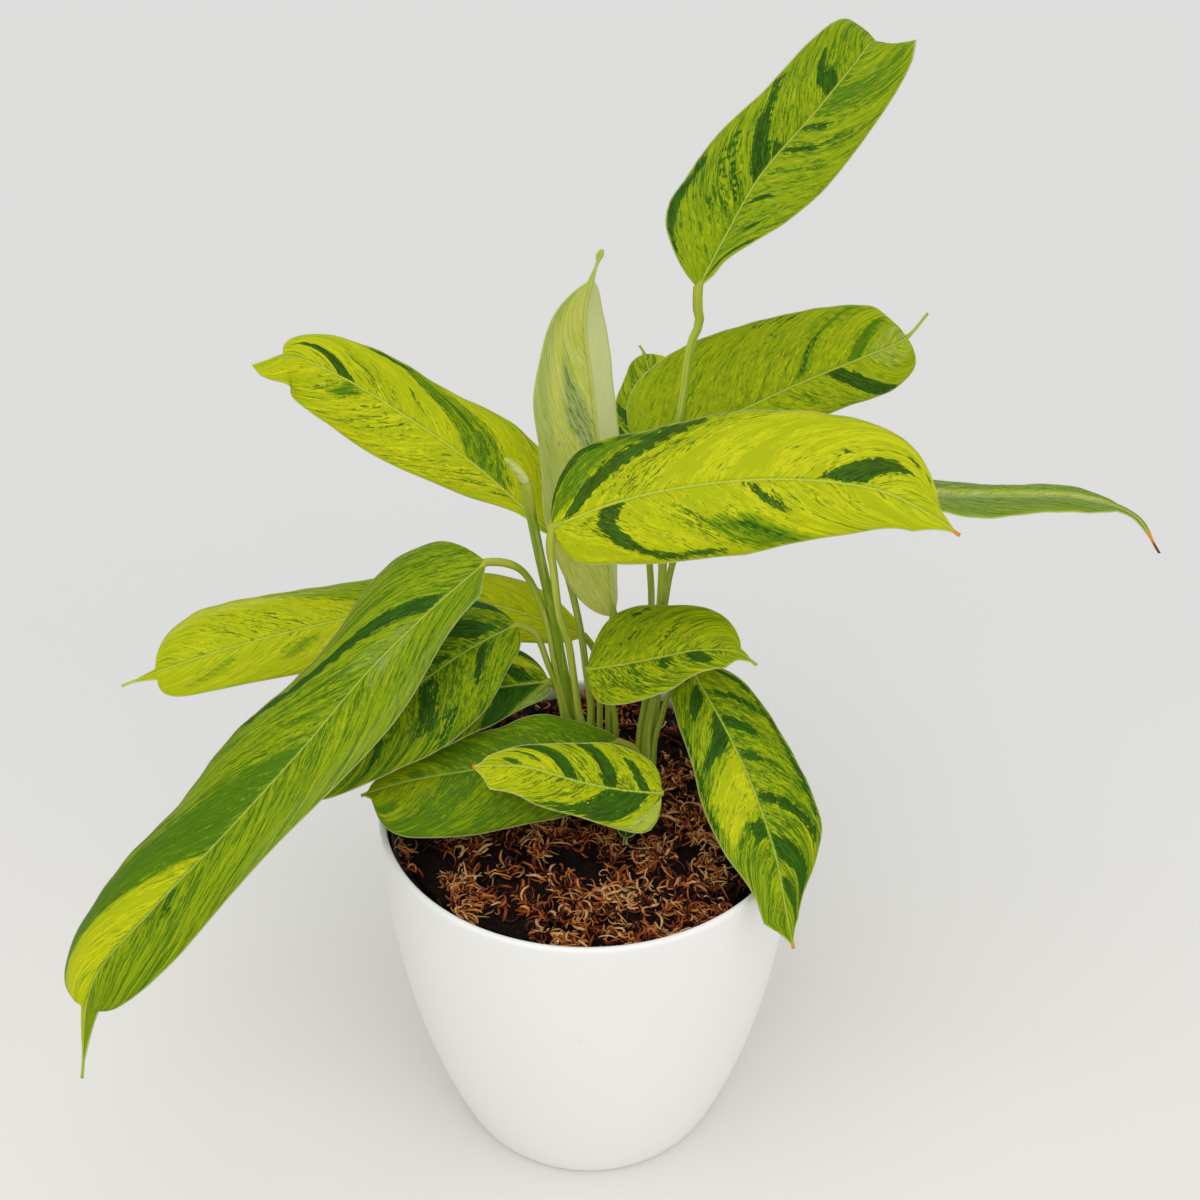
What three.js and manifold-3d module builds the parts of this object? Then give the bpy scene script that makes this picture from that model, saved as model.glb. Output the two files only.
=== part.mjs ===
// Potted ctenanthe lubbersiana: a round white cover pot with a black grow pot inside it, potting soil,
// a lumpy moss topping and three shoots that carry sixteen variegated blades and one rolled young leaf.
// Millimetres. The origin is the middle of the pot's foot, +Z is up, and -Y faces the viewer.

import * as THREE from 'three';
import { mergeVertices } from 'three/addons/utils/BufferGeometryUtils.js';
import Module from 'manifold-3d';

const wasm = await Module();
wasm.setup();

// Driving dimensions of the pots and their filling
const POT_HEIGHT = 165;
const POT_RIM_RADIUS = 90;
const POT_FOOT_RADIUS = 65.4;
const POT_BELLY_POWER = 2.32;
const POT_WALL = 3;
const POT_FLOOR = 4;
const POT_FOOT_EDGE = 1.3;
const POT_INNER_CORNER = 2;
const POT_WALL_ROWS = 9;
const POT_ROW_CROWDING = 1.2;
const POT_SIDES = 44;
const FIT_GAP = 0.3;

const GROW_POT_TOP = 157.5;
const GROW_POT_TOP_RADIUS = 82.5;
const GROW_POT_BOTTOM_RADIUS = 58;
const GROW_POT_BELLY_POWER = 0.62;
const GROW_POT_ROW_HEIGHTS = [25, 60, 105];
const GROW_POT_WALL = 1.4;
const GROW_POT_LIP = 3;
const GROW_POT_LIP_HEIGHT = 7;

const SOIL_TOP = 150;
const SOIL_GAP = 0.55;
const SOIL_CORNER_GAP = 1.5;
const MOSS_GAP = 0.7;
const MOSS_MEAN_TOP = 156.6;
const MOSS_LUMPS = [{ size: 19, height: 1.4 }, { size: 7, height: 2.7 }];
const MOSS_EDGE_FALL = 1.6;
const MOSS_EDGE_START = 60;
const MOSS_RINGS = 14;
const MOSS_SIDES = 56;
const MOSS_RING_CROWDING = 0.8;

// Driving dimensions of the plant
const BLADE_THICKNESS = 0.8;
const BLADE_END_HALF_WIDTH = 0.8;
const BASE_BLUNT = 2.4;
const BASE_OPENING = 0.05;
const TAIL_REACH = 1.5;
const TAIL_POWER = 1.35;
const RIGHT_WAVE_SHIFT = 0.37;
const LOBE_START = 0.55;
const LOBE_FULL = 0.9;
const TANGENT_STEP = 0.008;
const WIDTH_STATIONS = [0.1, 0.3, 0.5, 0.7, 0.9];
const WIDTH_EASE = 0.8;
const BLADE_ROWS = 12;
const TAIL_ROWS = 2;
const HALF_COLUMNS = 3;
const STALK_SIDES = 7;
const STALK_STEP = 17;
const STALK_END_GAP = 0.6;
const BEND_SHARE = 0.6;
const HOLE_GAP = 0.5;
const HOLE_SIDES = 10;
const FOOT_HEIGHT = 128;

// Each blade: its midrib from base to tip, the half-widths left and right of it at WIDTH_STATIONS, the way
// its upper face looks at the base and at the tip, the angle at which the halves leave the midrib and the
// angle through which they then arch down (degrees), its drip tip as a share of the length with the drip
// tip's half-widths, how much of the drip tip each side leaves free of the broad blade (tailShare), and how
// far its two margins run ahead of the midrib at the tip (lobes).
const blades = [
  {
    name: 'leaf_front_left_long',
    midrib: [[-40, 10, 274], [-59, -8, 264], [-82, -30, 249], [-104, -52, 230], [-130, -76, 209],
      [-154, -95, 190], [-173, -110, 171], [-179, -124, 138]],
    left: [7, 20, 18, 17, 18], right: [34, 25, 32, 29, 24],
    face: [[0, -0.5, 0.85], [-0.2, -0.55, 0.8], [-0.3, -0.6, 0.75]],
    fold: 10, arch: 45, tail: 0.11, tailWidth: [9, 5], baseBlunt: [1.4, 4.2], tipBlunt: [3.2, 4.2],
    wave: 1.2, waves: 4,
  },
  {
    name: 'leaf_left',
    midrib: [[-2, 52, 214], [-44, 55, 228], [-92, 48, 228], [-139, 36, 223], [-180, 24, 215],
      [-200, 19, 209]],
    left: [11, 21, 22, 20, 16], right: [16, 20, 23, 25, 29],
    face: [[0, -0.45, 0.9], [-0.2, -0.55, 0.85]],
    fold: 8, arch: 40, tail: 0.075, tailWidth: [6, 4], baseBlunt: [1.4, 1.6], tipBlunt: [4.2, 2.5],
    lobes: [2.5, 0], wave: 0.8, waves: 3,
  },
  {
    name: 'leaf_upper_left',
    midrib: [[-14, 51, 264], [-49, 63, 293], [-79, 68, 314], [-100, 69, 328], [-122, 66, 339],
      [-135, 58, 338]],
    left: [2, 14.5, 21, 21.5, 15.5], right: [22, 29, 25, 22, 18],
    face: [[0.1, -0.6, 0.8], [-0.1, -0.6, 0.8]],
    fold: 10, arch: 40, tail: 0.09, tailWidth: [2.5, 3], tailShare: [0, 1], baseBlunt: [3, 1.4],
    tipBlunt: [2.4, 2.6], wave: 0.8, waves: 3,
  },
  {
    name: 'leaf_upright_young',
    midrib: [[11, 32, 236], [8, 43, 267], [4, 52, 308], [1, 55, 336], [-1, 56, 357], [2, 56, 373],
      [6, 55, 385]],
    left: [3, 8, 12, 12, 10], right: [18, 26, 25, 24, 12],
    face: [[-0.3, 0.9, 0.1], [-0.3, 0.9, 0.1]],
    fold: 35, arch: 19, tail: 0.085, tailWidth: [2.6, 2.8], baseBlunt: [2.2, 2.1], tipBlunt: [1.8, 1.2],
    wave: 0.6, waves: 2,
  },
  {
    name: 'leaf_centre_right',
    midrib: [[-13, 3, 293], [9, 4, 302], [39, 3, 310], [75, -2, 315], [107, -10, 314], [125, -19, 308],
      [134, -24, 303]],
    left: [27, 30, 33, 32, 21], right: [21, 28, 28, 22, 11],
    face: [[-0.05, -0.68, 0.73], [0, -0.68, 0.73]],
    fold: 8, arch: 40, tail: 0.063, tailWidth: [7, 8.5], baseBlunt: [1.9, 4.2], tipBlunt: [1.2, 1.2],
    wave: 1, waves: 3,
  },
  {
    name: 'leaf_small_centre',
    midrib: [[0, 6, 226], [13, 3, 230], [29, -2, 237], [45, -6, 243], [59, -11, 245], [66, -17, 243]],
    left: [18, 25, 23, 20, 13], right: [15, 16, 14, 9, 4.5],
    face: [[0, -0.65, 0.75], [0.2, -0.65, 0.75]],
    fold: 13, arch: 36, tail: 0.12, tailWidth: [3.8, 7], baseBlunt: [1.6, 4.2], tipBlunt: [1.5, 3.4],
    wave: 0.6, waves: 3, rows: 11,
  },
  {
    name: 'leaf_right_hanging',
    midrib: [[44, 10, 222], [58, -15, 206], [67, -37, 193], [73, -57, 180], [76, -74, 166], [78, -82, 158]],
    left: [17, 22, 24, 23, 8], right: [14, 18, 21, 19, 8],
    face: [[0.1, -0.7, 0.7], [0.3, -0.85, 0.4]],
    fold: 8, arch: 34, tail: 0.06, tailWidth: [4.4, 9], baseBlunt: [3.4, 4.2], tipBlunt: [1.2, 2.7],
    wave: 0.8, waves: 3,
  },
  {
    name: 'leaf_small_front',
    midrib: [[30, -25, 186], [11, -27, 190], [-6, -30, 197], [-24, -32, 205], [-38, -35, 208],
      [-45, -37, 209]],
    left: [16, 14, 12.5, 12, 7], right: [16, 19, 16, 11, 6],
    face: [[0, -0.6, 0.8], [-0.1, -0.6, 0.8]],
    fold: 12, arch: 31, tail: 0.055, tailWidth: [9, 3], baseBlunt: [4.2, 2.7], tipBlunt: [2.4, 1.9],
    wave: 0.6, waves: 3, rows: 11,
  },
  {
    name: 'leaf_over_rim',
    midrib: [[13, 9, 187], [-1, -2, 192], [-18, -11, 194], [-44, -19, 194], [-64, -23, 193],
      [-79, -26, 191], [-91, -30, 189]],
    left: [21, 26, 26, 26, 22], right: [9, 19, 17, 15, 8],
    face: [[0, -0.78, 0.62], [0, -0.62, 0.78], [0, -0.55, 0.83]],
    fold: 9, arch: 38, tail: 0.03, tailWidth: [5, 2.3], baseBlunt: [3.8, 1.6], tipBlunt: [4.2, 1.7],
    wave: 0.8, waves: 3,
  },
  {
    name: 'leaf_inner_left',
    midrib: [[-30, 20, 239], [-47, 9, 235], [-70, -10, 227], [-93, -29, 215], [-111, -44, 203],
      [-117, -50, 196]],
    left: [15, 25, 27, 21, 13], right: [28, 26, 24, 20, 12],
    face: [[0.05, -0.5, 0.85], [-0.1, -0.6, 0.8]],
    fold: 8, arch: 45, tail: 0.08, tailWidth: [3.5, 3.5], tipBlunt: [2.4, 2.4], wave: 0.8, waves: 3,
  },
  {
    name: 'leaf_lower_left',
    midrib: [[-17, 21, 210], [-46, 10, 212], [-65, -4, 210], [-84, -19, 204], [-101, -31, 195],
      [-109, -37, 190]],
    left: [10, 16, 16, 11, 5], right: [23, 20, 19, 16, 13],
    face: [[0, -0.45, 0.9], [-0.2, -0.5, 0.8]],
    fold: 9, arch: 43, tail: 0.066, tailWidth: [2.9, 2.9], baseBlunt: [3.2, 2.7], tipBlunt: [2.6, 2.4],
    wave: 0.8, waves: 3, rows: 11,
  },
  {
    name: 'leaf_back_right',
    midrib: [[22, 54, 301], [63, 76, 311], [95, 96, 318], [125, 115, 323], [145, 128, 327],
      [157, 140, 335]],
    left: [30, 36, 34, 30, 23], right: [8, 14, 18, 18, 19],
    face: [[0.2, -0.8, 0.5], [0.2, -0.8, 0.5]],
    fold: 10, arch: 35, tail: 0.11, tailWidth: [2.2, 2.2], baseBlunt: [3.2, 2.4], tipBlunt: [3.8, 4.2],
    wave: 0.8, waves: 3,
  },
  {
    name: 'leaf_back',
    midrib: [[30, 101, 268], [32, 122, 277], [32, 144, 286], [30, 163, 295], [27, 177, 304],
      [25, 182, 306]],
    left: [16, 19, 20, 19, 11], right: [16, 17, 17, 16, 16],
    face: [[0, -0.7, 0.7], [0, -0.5, 0.8]],
    fold: 13, arch: 46, tail: 0.08, tailWidth: [2.2, 2.2], tipBlunt: [3.1, 2.6],
    wave: 0.6, waves: 3, rows: 11,
  },
  {
    name: 'leaf_top',
    midrib: [[42, 42, 374], [52, 57, 388], [67, 76, 408], [89, 95, 428], [106, 111, 444], [114, 121, 451],
      [118, 127, 450], [120, 131, 446]],
    left: [21, 24, 21.5, 20.5, 17], right: [4, 18.5, 23.5, 22, 16.5],
    face: [[0, -0.9, 0.5], [0, -0.9, 0.5], [0.2, -0.3, 0.9]],
    fold: 22, arch: 30, tail: 0.066, tailWidth: [2.4, 2.4], baseBlunt: [1.5, 1.5], tipBlunt: [4.2, 4],
    lobes: [9, 22], wave: 0.6, waves: 3,
  },
  {
    name: 'leaf_far_right',
    midrib: [[86, 60, 280], [126, 65, 279], [162, 69, 275], [215, 68, 274], [236, 59, 270], [243, 44, 260]],
    left: [16, 18, 19, 16, 14], right: [20, 24, 26, 24, 16],
    face: [[0, 0.1, 0.95], [0, 0.1, 0.95]],
    fold: 20, arch: 40, tail: 0.16, tailWidth: [9, 9], tipBlunt: [2.2, 2.2], wave: 0.8, waves: 3,
  },
  {
    name: 'leaf_under_front',
    midrib: [[23, -2, 168], [20, -12, 170], [17, -22, 169], [15, -32, 165]],
    left: [4, 7, 8, 7, 4], right: [4, 7, 8, 7, 4],
    face: [[0, -0.1, 1], [0, -0.3, 0.9]],
    fold: 10, arch: 30, tail: 0.1, tailWidth: [1.5, 1.5], tipBlunt: [2, 2], wave: 0.3, waves: 2, rows: 7,
  },
];

// The rolled young leaf at the end of the thick stalk: a slim closed roll that ends in a point
const ROLL_BASE_SHARE = 0.75;
const ROLL_SHOULDER_SHARE = 1.25;
const ROLL_TIP_SHARE = 0.12;
const ROLL_SIDES = 8;
const rolledLeaf = { path: [[-24, 22, 303], [-26, 21, 307], [-29, 21, 311], [-32, 20, 314]], radius: 2.1 };

// Each shoot: its stalks, with the foot in the soil, the points it passes and the blade that it carries
const shoots = [
  {
    name: 'shoot_left',
    stalks: [
      {
        carries: 'leaf_front_left_long', radius: 1.4, foot: [-5, 11],
        via: [[-7, 16, 186], [-10, 18, 199], [-14, 20, 219], [-16, 20, 234], [-19, 19, 248], [-24, 18, 262],
          [-29, 14, 270], [-35, 12, 273]],
      },
      {
        carries: 'leaf_inner_left', radius: 1.3, foot: [-6, 14], endGap: 0.8,
        via: [[-10, 16, 188], [-13, 19, 207], [-17, 19, 220], [-20, 21, 229], [-22, 21, 234], [-26, 21, 237]],
      },
      {
        carries: 'leaf_lower_left', radius: 1.3, foot: [-4, 16],
        via: [[-7, 18, 184], [-11, 20, 198], [-14, 22, 206]],
      },
      {
        carries: 'rolled_leaf', radius: 2, foot: [-1, 13],
        via: [[-5, 17, 184], [-7, 19, 195], [-10, 19, 214], [-13, 20, 233], [-16, 21, 252], [-19, 21, 269],
          [-22, 22, 287]],
      },
      {
        carries: 'leaf_centre_right', radius: 1.5, foot: [1, 10], endGap: 1.2,
        via: [[-2, 12, 188], [-4, 12, 200], [-6, 10, 220], [-8, 7, 239], [-11, 4, 252], [-13, 1, 275],
          [-14, 1, 286]],
      },
    ],
  },
  {
    name: 'shoot_middle',
    stalks: [
      {
        carries: 'leaf_upper_left', radius: 1.5, foot: [3, 18],
        via: [[1, 21, 181], [1, 26, 194], [-1, 32, 208], [-3, 37, 223], [-7, 44, 241], [-11, 49, 254]],
      },
      {
        carries: 'leaf_left', radius: 1.3, foot: [6, 20],
        via: [[5, 24, 179], [5, 36, 190], [5, 47, 200], [2, 51, 208]],
      },
      {
        carries: 'leaf_upright_young', radius: 1.6, foot: [9, 18],
        via: [[9, 21, 181], [9, 25, 198], [10, 28, 217]],
      },
      {
        carries: 'leaf_small_centre', radius: 1.3, foot: [12, 15], endGap: 0.9,
        via: [[12, 16, 185], [11, 16, 198], [7, 12, 210], [2, 8, 220]],
      },
    ],
  },
  {
    name: 'shoot_right',
    stalks: [
      {
        carries: 'leaf_back_right', radius: 1.4, foot: [23, 12], endGap: 1.35,
        via: [[23, 19, 183], [25, 23, 199], [27, 35, 241], [26, 39, 258], [24, 47, 284]],
      },
      {
        carries: 'leaf_back', radius: 1.4, foot: [25, 13],
        via: [[27, 21, 180], [29, 34, 194], [32, 62, 224], [33, 75, 239], [32, 92, 257]],
      },
      {
        carries: 'leaf_top', radius: 1.6, foot: [24.5, 9],
        via: [[26, 15, 186], [29, 19, 207], [31, 24, 247], [31, 27, 264], [33, 32, 295], [36, 36, 321],
          [38, 38, 337], [40, 40, 353], [43, 41, 361], [42, 41, 367]],
      },
      {
        carries: 'leaf_far_right', radius: 1.4, foot: [27, 11],
        via: [[28, 17, 184], [30, 24, 203], [33, 39, 238], [36, 45, 254], [43, 52, 272], [58, 56, 280],
          [75, 58, 282]],
      },
      {
        carries: 'leaf_right_hanging', radius: 1.2, foot: [28, 9], endGap: 1,
        via: [[29, 13, 185], [31, 13, 195], [34, 14, 207], [39, 13, 218]],
      },
      {
        carries: 'leaf_small_front', radius: 1.2, foot: [26, 6], endGap: 0.8,
        via: [[27, 4, 168], [28, -7, 177], [29, -17, 182]],
      },
      {
        carries: 'leaf_over_rim', radius: 1.3, foot: [21.5, 9],
        via: [[22, 9, 175], [20, 9, 183]],
      },
      {
        carries: 'leaf_under_front', radius: 1, foot: [24, 5],
        via: [[24, 4, 163]],
      },
    ],
  },
];

// The stalks start as thick as the sheaths that wrap them, and thin out between these shares of their length
const SHEATH_RADIUS = 2.6;
const SHEATH_END = 0.12;
const STALK_START = 0.5;

// Materials, with the colours that the photo shows
const whitePlastic = new THREE.MeshStandardMaterial({ color: 0xecebe8, roughness: 0.4, metalness: 0 });
const blackPlastic = new THREE.MeshStandardMaterial({ color: 0x17181a, roughness: 0.55, metalness: 0 });
const darkSoil = new THREE.MeshStandardMaterial({ color: 0x1a120d, roughness: 0.95, metalness: 0 });
const brownMoss = new THREE.MeshStandardMaterial({ color: 0x6e3d20, roughness: 0.95, metalness: 0 });
const stalkGreen = new THREE.MeshStandardMaterial({ color: 0x7f9a2a, roughness: 0.5, metalness: 0 });
const leafLime = new THREE.MeshStandardMaterial({ color: 0x9fbb1e, roughness: 0.45, metalness: 0 });
const leafDark = new THREE.MeshStandardMaterial({ color: 0x3f7d18, roughness: 0.45, metalness: 0 });
const leafPale = new THREE.MeshStandardMaterial({ color: 0xc6cf8e, roughness: 0.5, metalness: 0 });
const bladeMaterials = {
  leaf_upright_young: leafPale,
  leaf_inner_left: leafDark,
  leaf_lower_left: leafDark,
  leaf_right_hanging: leafDark,
  leaf_under_front: leafDark,
};

const radians = THREE.MathUtils.degToRad;
const vector = (point) => new THREE.Vector3(point[0], point[1], point[2]);
const model = new THREE.Group();

function addMesh(name, geometry, material) {
  const mesh = new THREE.Mesh(geometry, material);
  mesh.name = name;
  model.add(mesh);
}

// Geometry to solid and back, for the cuts and joins
function toSolid(geometry) {
  const bare = geometry.clone();
  bare.deleteAttribute('normal');
  bare.deleteAttribute('uv');
  const merged = mergeVertices(bare, 1e-4);
  const vertProperties = new Float32Array(merged.attributes.position.array);
  const triVerts = new Uint32Array(merged.index.array);
  return new wasm.Manifold(new wasm.Mesh({ numProp: 3, vertProperties, triVerts }));
}

function toGeometry(solid) {
  const mesh = solid.getMesh();
  const geometry = new THREE.BufferGeometry();
  geometry.setAttribute('position', new THREE.BufferAttribute(new Float32Array(mesh.vertProperties), 3));
  geometry.setIndex(new THREE.BufferAttribute(new Uint32Array(mesh.triVerts), 1));
  geometry.computeVertexNormals();
  return geometry;
}

function meshGeometry(points, triangles) {
  const geometry = new THREE.BufferGeometry();
  geometry.setAttribute('position', new THREE.Float32BufferAttribute(points.flat(), 3));
  geometry.setIndex(triangles.flat());
  geometry.computeVertexNormals();
  return geometry;
}

// The largest body of a solid: a cut can leave loose scraps, which are dropped
function largestBody(solid) {
  const bodies = solid.decompose();
  return bodies.reduce((best, body) => (body.volume() > best.volume() ? body : best));
}

// Pots and their filling: each is a profile of radius and height, turned about the upright axis
function turned(profile) {
  const points = profile.map(([radius, height]) => new THREE.Vector2(radius, height));
  return new THREE.LatheGeometry(points, POT_SIDES).rotateX(Math.PI / 2);
}

function potRadiusAt(height) {
  const rise = 1 - (1 - height / POT_HEIGHT) ** POT_BELLY_POWER;
  return POT_FOOT_RADIUS + (POT_RIM_RADIUS - POT_FOOT_RADIUS) * rise;
}

function makePot() {
  const profile = [[0, 0], [POT_FOOT_RADIUS - POT_FOOT_EDGE, 0]];
  const rimDrop = POT_WALL / 2;
  const top = POT_HEIGHT - rimDrop;
  const heights = Array.from({ length: POT_WALL_ROWS }, (_, row) => {
    const share = (row / (POT_WALL_ROWS - 1)) ** POT_ROW_CROWDING;
    return THREE.MathUtils.lerp(POT_FOOT_EDGE, top, share);
  });
  heights.forEach((height) => profile.push([potRadiusAt(height), height]));
  const rimMiddle = potRadiusAt(top) - rimDrop;
  for (const turn of [45, 90, 135]) {
    profile.push([rimMiddle + rimDrop * Math.cos(radians(turn)), top + rimDrop * Math.sin(radians(turn))]);
  }
  const inner = heights.filter((height) => height > POT_FLOOR + POT_INNER_CORNER).reverse();
  inner.forEach((height) => profile.push([potRadiusAt(height) - POT_WALL, height]));
  profile.push([potRadiusAt(POT_FLOOR) - POT_WALL - POT_INNER_CORNER, POT_FLOOR], [0, POT_FLOOR]);
  return turned(profile);
}

function growPotRadiusAt(height) {
  const bottom = POT_FLOOR + FIT_GAP;
  const share = (height - bottom) / (GROW_POT_TOP - bottom);
  const rise = share ** GROW_POT_BELLY_POWER;
  return GROW_POT_BOTTOM_RADIUS + (GROW_POT_TOP_RADIUS - GROW_POT_BOTTOM_RADIUS) * rise;
}

function makeGrowPot() {
  const bottom = POT_FLOOR + FIT_GAP;
  const inside = bottom + GROW_POT_WALL;
  const lipBottom = GROW_POT_TOP - GROW_POT_LIP_HEIGHT;
  const lipRadius = GROW_POT_TOP_RADIUS + GROW_POT_LIP;
  const rowHeights = [bottom, ...GROW_POT_ROW_HEIGHTS, lipBottom];
  const outer = rowHeights.map((height) => [growPotRadiusAt(height), height]);
  const lip = [[lipRadius, lipBottom], [lipRadius, GROW_POT_TOP], [lipRadius - GROW_POT_WALL, GROW_POT_TOP],
    [lipRadius - GROW_POT_WALL, lipBottom + GROW_POT_WALL]];
  const inner = [[growPotRadiusAt(lipBottom) - GROW_POT_WALL, lipBottom + GROW_POT_WALL]];
  for (const height of [...GROW_POT_ROW_HEIGHTS].reverse()) {
    inner.push([growPotRadiusAt(height) - GROW_POT_WALL, height]);
  }
  const floor = [[GROW_POT_BOTTOM_RADIUS - GROW_POT_WALL, inside], [0, inside]];
  return turned([[0, bottom], ...outer, ...lip, ...inner, ...floor]);
}

function makeSoil() {
  const bottom = POT_FLOOR + GROW_POT_WALL + 2 * FIT_GAP;
  const side = [...GROW_POT_ROW_HEIGHTS, SOIL_TOP].map((height) => [
    growPotRadiusAt(height) - GROW_POT_WALL - SOIL_GAP, height]);
  const corner = [GROW_POT_BOTTOM_RADIUS - GROW_POT_WALL - SOIL_CORNER_GAP, bottom];
  return turned([[0, bottom], corner, ...side, [0, SOIL_TOP]]);
}

// Repeatable lumps: a value in -1..1 for each pair of whole numbers, and a smooth blend between them
function latticeValue(i, j) {
  const mix = Math.sin(i * 127.1 + j * 311.7 + 7.3) * 43758.5453;
  return 2 * (mix - Math.floor(mix)) - 1;
}

function lumpAt(x, y, size) {
  const i = Math.floor(x / size);
  const j = Math.floor(y / size);
  const s = THREE.MathUtils.smoothstep(x / size - i, 0, 1);
  const t = THREE.MathUtils.smoothstep(y / size - j, 0, 1);
  const near = THREE.MathUtils.lerp(latticeValue(i, j), latticeValue(i + 1, j), s);
  const far = THREE.MathUtils.lerp(latticeValue(i, j + 1), latticeValue(i + 1, j + 1), s);
  return THREE.MathUtils.lerp(near, far, t);
}

function mossTopAt(x, y) {
  const edgeShare = THREE.MathUtils.smoothstep(Math.hypot(x, y), MOSS_EDGE_START, GROW_POT_TOP_RADIUS);
  const lumps = MOSS_LUMPS.reduce((sum, lump) => sum + lump.height * lumpAt(x, y, lump.size), 0);
  return MOSS_MEAN_TOP + lumps - MOSS_EDGE_FALL * edgeShare;
}

function makeMoss() {
  const points = [];
  const triangles = [];
  const bottom = SOIL_TOP + FIT_GAP;
  const rimRadius = growPotRadiusAt(SOIL_TOP) - GROW_POT_WALL - MOSS_GAP;
  const middleTop = points.push([0, 0, mossTopAt(0, 0)]) - 1;
  const middleBottom = points.push([0, 0, bottom]) - 1;
  const ringStart = points.length;
  for (let ring = 1; ring <= MOSS_RINGS; ring += 1) {
    const radius = rimRadius * (ring / MOSS_RINGS) ** MOSS_RING_CROWDING;
    for (let side = 0; side < MOSS_SIDES; side += 1) {
      const turn = (2 * Math.PI * (side + 0.5 * (ring % 2))) / MOSS_SIDES;
      const x = radius * Math.cos(turn);
      const y = radius * Math.sin(turn);
      points.push([x, y, mossTopAt(x, y)]);
    }
  }
  const lastTurn = 0.5 * (MOSS_RINGS % 2);
  const skirtStart = points.length;
  for (let side = 0; side < MOSS_SIDES; side += 1) {
    const turn = (2 * Math.PI * (side + lastTurn)) / MOSS_SIDES;
    points.push([rimRadius * Math.cos(turn), rimRadius * Math.sin(turn), bottom]);
  }
  const at = (ring, side) => ringStart + (ring - 1) * MOSS_SIDES + (side % MOSS_SIDES);
  for (let side = 0; side < MOSS_SIDES; side += 1) {
    triangles.push([middleTop, at(1, side), at(1, side + 1)]);
    for (let ring = 1; ring < MOSS_RINGS; ring += 1) {
      // Odd rings are half a step ahead of even ones
      const outer = side + (ring % 2);
      triangles.push([at(ring, side), at(ring + 1, outer), at(ring, side + 1)]);
      triangles.push([at(ring, side + 1), at(ring + 1, outer), at(ring + 1, outer + 1)]);
    }
    const top = at(MOSS_RINGS, side);
    const topNext = at(MOSS_RINGS, side + 1);
    const low = skirtStart + side;
    const lowNext = skirtStart + ((side + 1) % MOSS_SIDES);
    triangles.push([top, low, topNext], [topNext, low, lowNext], [middleBottom, lowNext, low]);
  }
  return meshGeometry(points, triangles);
}

// Blades. A value that runs smoothly through one value at each station
function smoothBetween(x, stations, values) {
  const slope = values.map((value, i) => {
    const before = Math.max(i - 1, 0);
    const after = Math.min(i + 1, values.length - 1);
    return (WIDTH_EASE * (values[after] - values[before])) / (stations[after] - stations[before]);
  });
  const held = THREE.MathUtils.clamp(x, stations[0], stations[stations.length - 1]);
  let i = 0;
  while (i < stations.length - 2 && held >= stations[i + 1]) i += 1;
  const width = stations[i + 1] - stations[i];
  const t = (held - stations[i]) / width;
  return (2 * t ** 3 - 3 * t ** 2 + 1) * values[i] + (t ** 3 - 2 * t ** 2 + t) * width * slope[i]
    + (-2 * t ** 3 + 3 * t ** 2) * values[i + 1] + (t ** 3 - t ** 2) * width * slope[i + 1];
}

// A rounded oblong from 0 to 1, blunter with a higher power
function oblong(x, basePower, tipPower) {
  const a = 2 * THREE.MathUtils.clamp(x, 0, 1) - 1;
  const power = a < 0 ? basePower : tipPower;
  return Math.max(1 - Math.abs(a) ** power, 0) ** (1 / power);
}

function halfWidthAt(u, blade, side) {
  const widths = side < 0 ? blade.left : blade.right;
  const hand = side < 0 ? 0 : 1;
  const basePower = blade.baseBlunt ? blade.baseBlunt[hand] : BASE_BLUNT;
  const tipPower = blade.tipBlunt[hand];
  const tailShare = blade.tailShare ? blade.tailShare[hand] : 1;
  const x = Math.min(u / (1 - tailShare * blade.tail), 1);
  const shares = widths.map((width, i) => width / oblong(WIDTH_STATIONS[i], basePower, tipPower));
  const body = smoothBetween(x, WIDTH_STATIONS, shares) * oblong(x, basePower, tipPower);
  const taper = THREE.MathUtils.clamp((1 - u) / (TAIL_REACH * blade.tail), 0, 1) ** TAIL_POWER;
  const tip = blade.tailWidth[hand] * taper * THREE.MathUtils.clamp(u / BASE_OPENING, 0, 1);
  return Math.max(Math.cbrt(body ** 3 + tip ** 3), BLADE_END_HALF_WIDTH);
}

// How far the margin runs ahead of its midrib near a lobed tip
function lobeAt(u, blade, side, half) {
  if (!blade.lobes) return 0;
  const lobe = side < 0 ? blade.lobes[0] : blade.lobes[1];
  const widest = Math.max(...(side < 0 ? blade.left : blade.right));
  return (lobe * THREE.MathUtils.smoothstep(u / (1 - blade.tail), LOBE_START, LOBE_FULL) * half) / widest;
}

// The section from the midrib out: how far across and how far up, for a half-width of 1
function sectionAt(share, fold, arch) {
  const steps = 24;
  let across = 0;
  let up = 0;
  for (let i = 0; i < steps; i += 1) {
    const angle = radians(fold - arch * share * ((i + 0.5) / steps));
    across += (Math.cos(angle) * share) / steps;
    up += (Math.sin(angle) * share) / steps;
  }
  return { across, up, angle: radians(fold - arch * share) };
}

function faceAt(u, faces) {
  if (faces.length === 2) return vector(faces[0]).lerp(vector(faces[1]), u);
  if (u < 0.5) return vector(faces[0]).lerp(vector(faces[1]), 2 * u);
  return vector(faces[1]).lerp(vector(faces[2]), 2 * u - 1);
}

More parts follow.
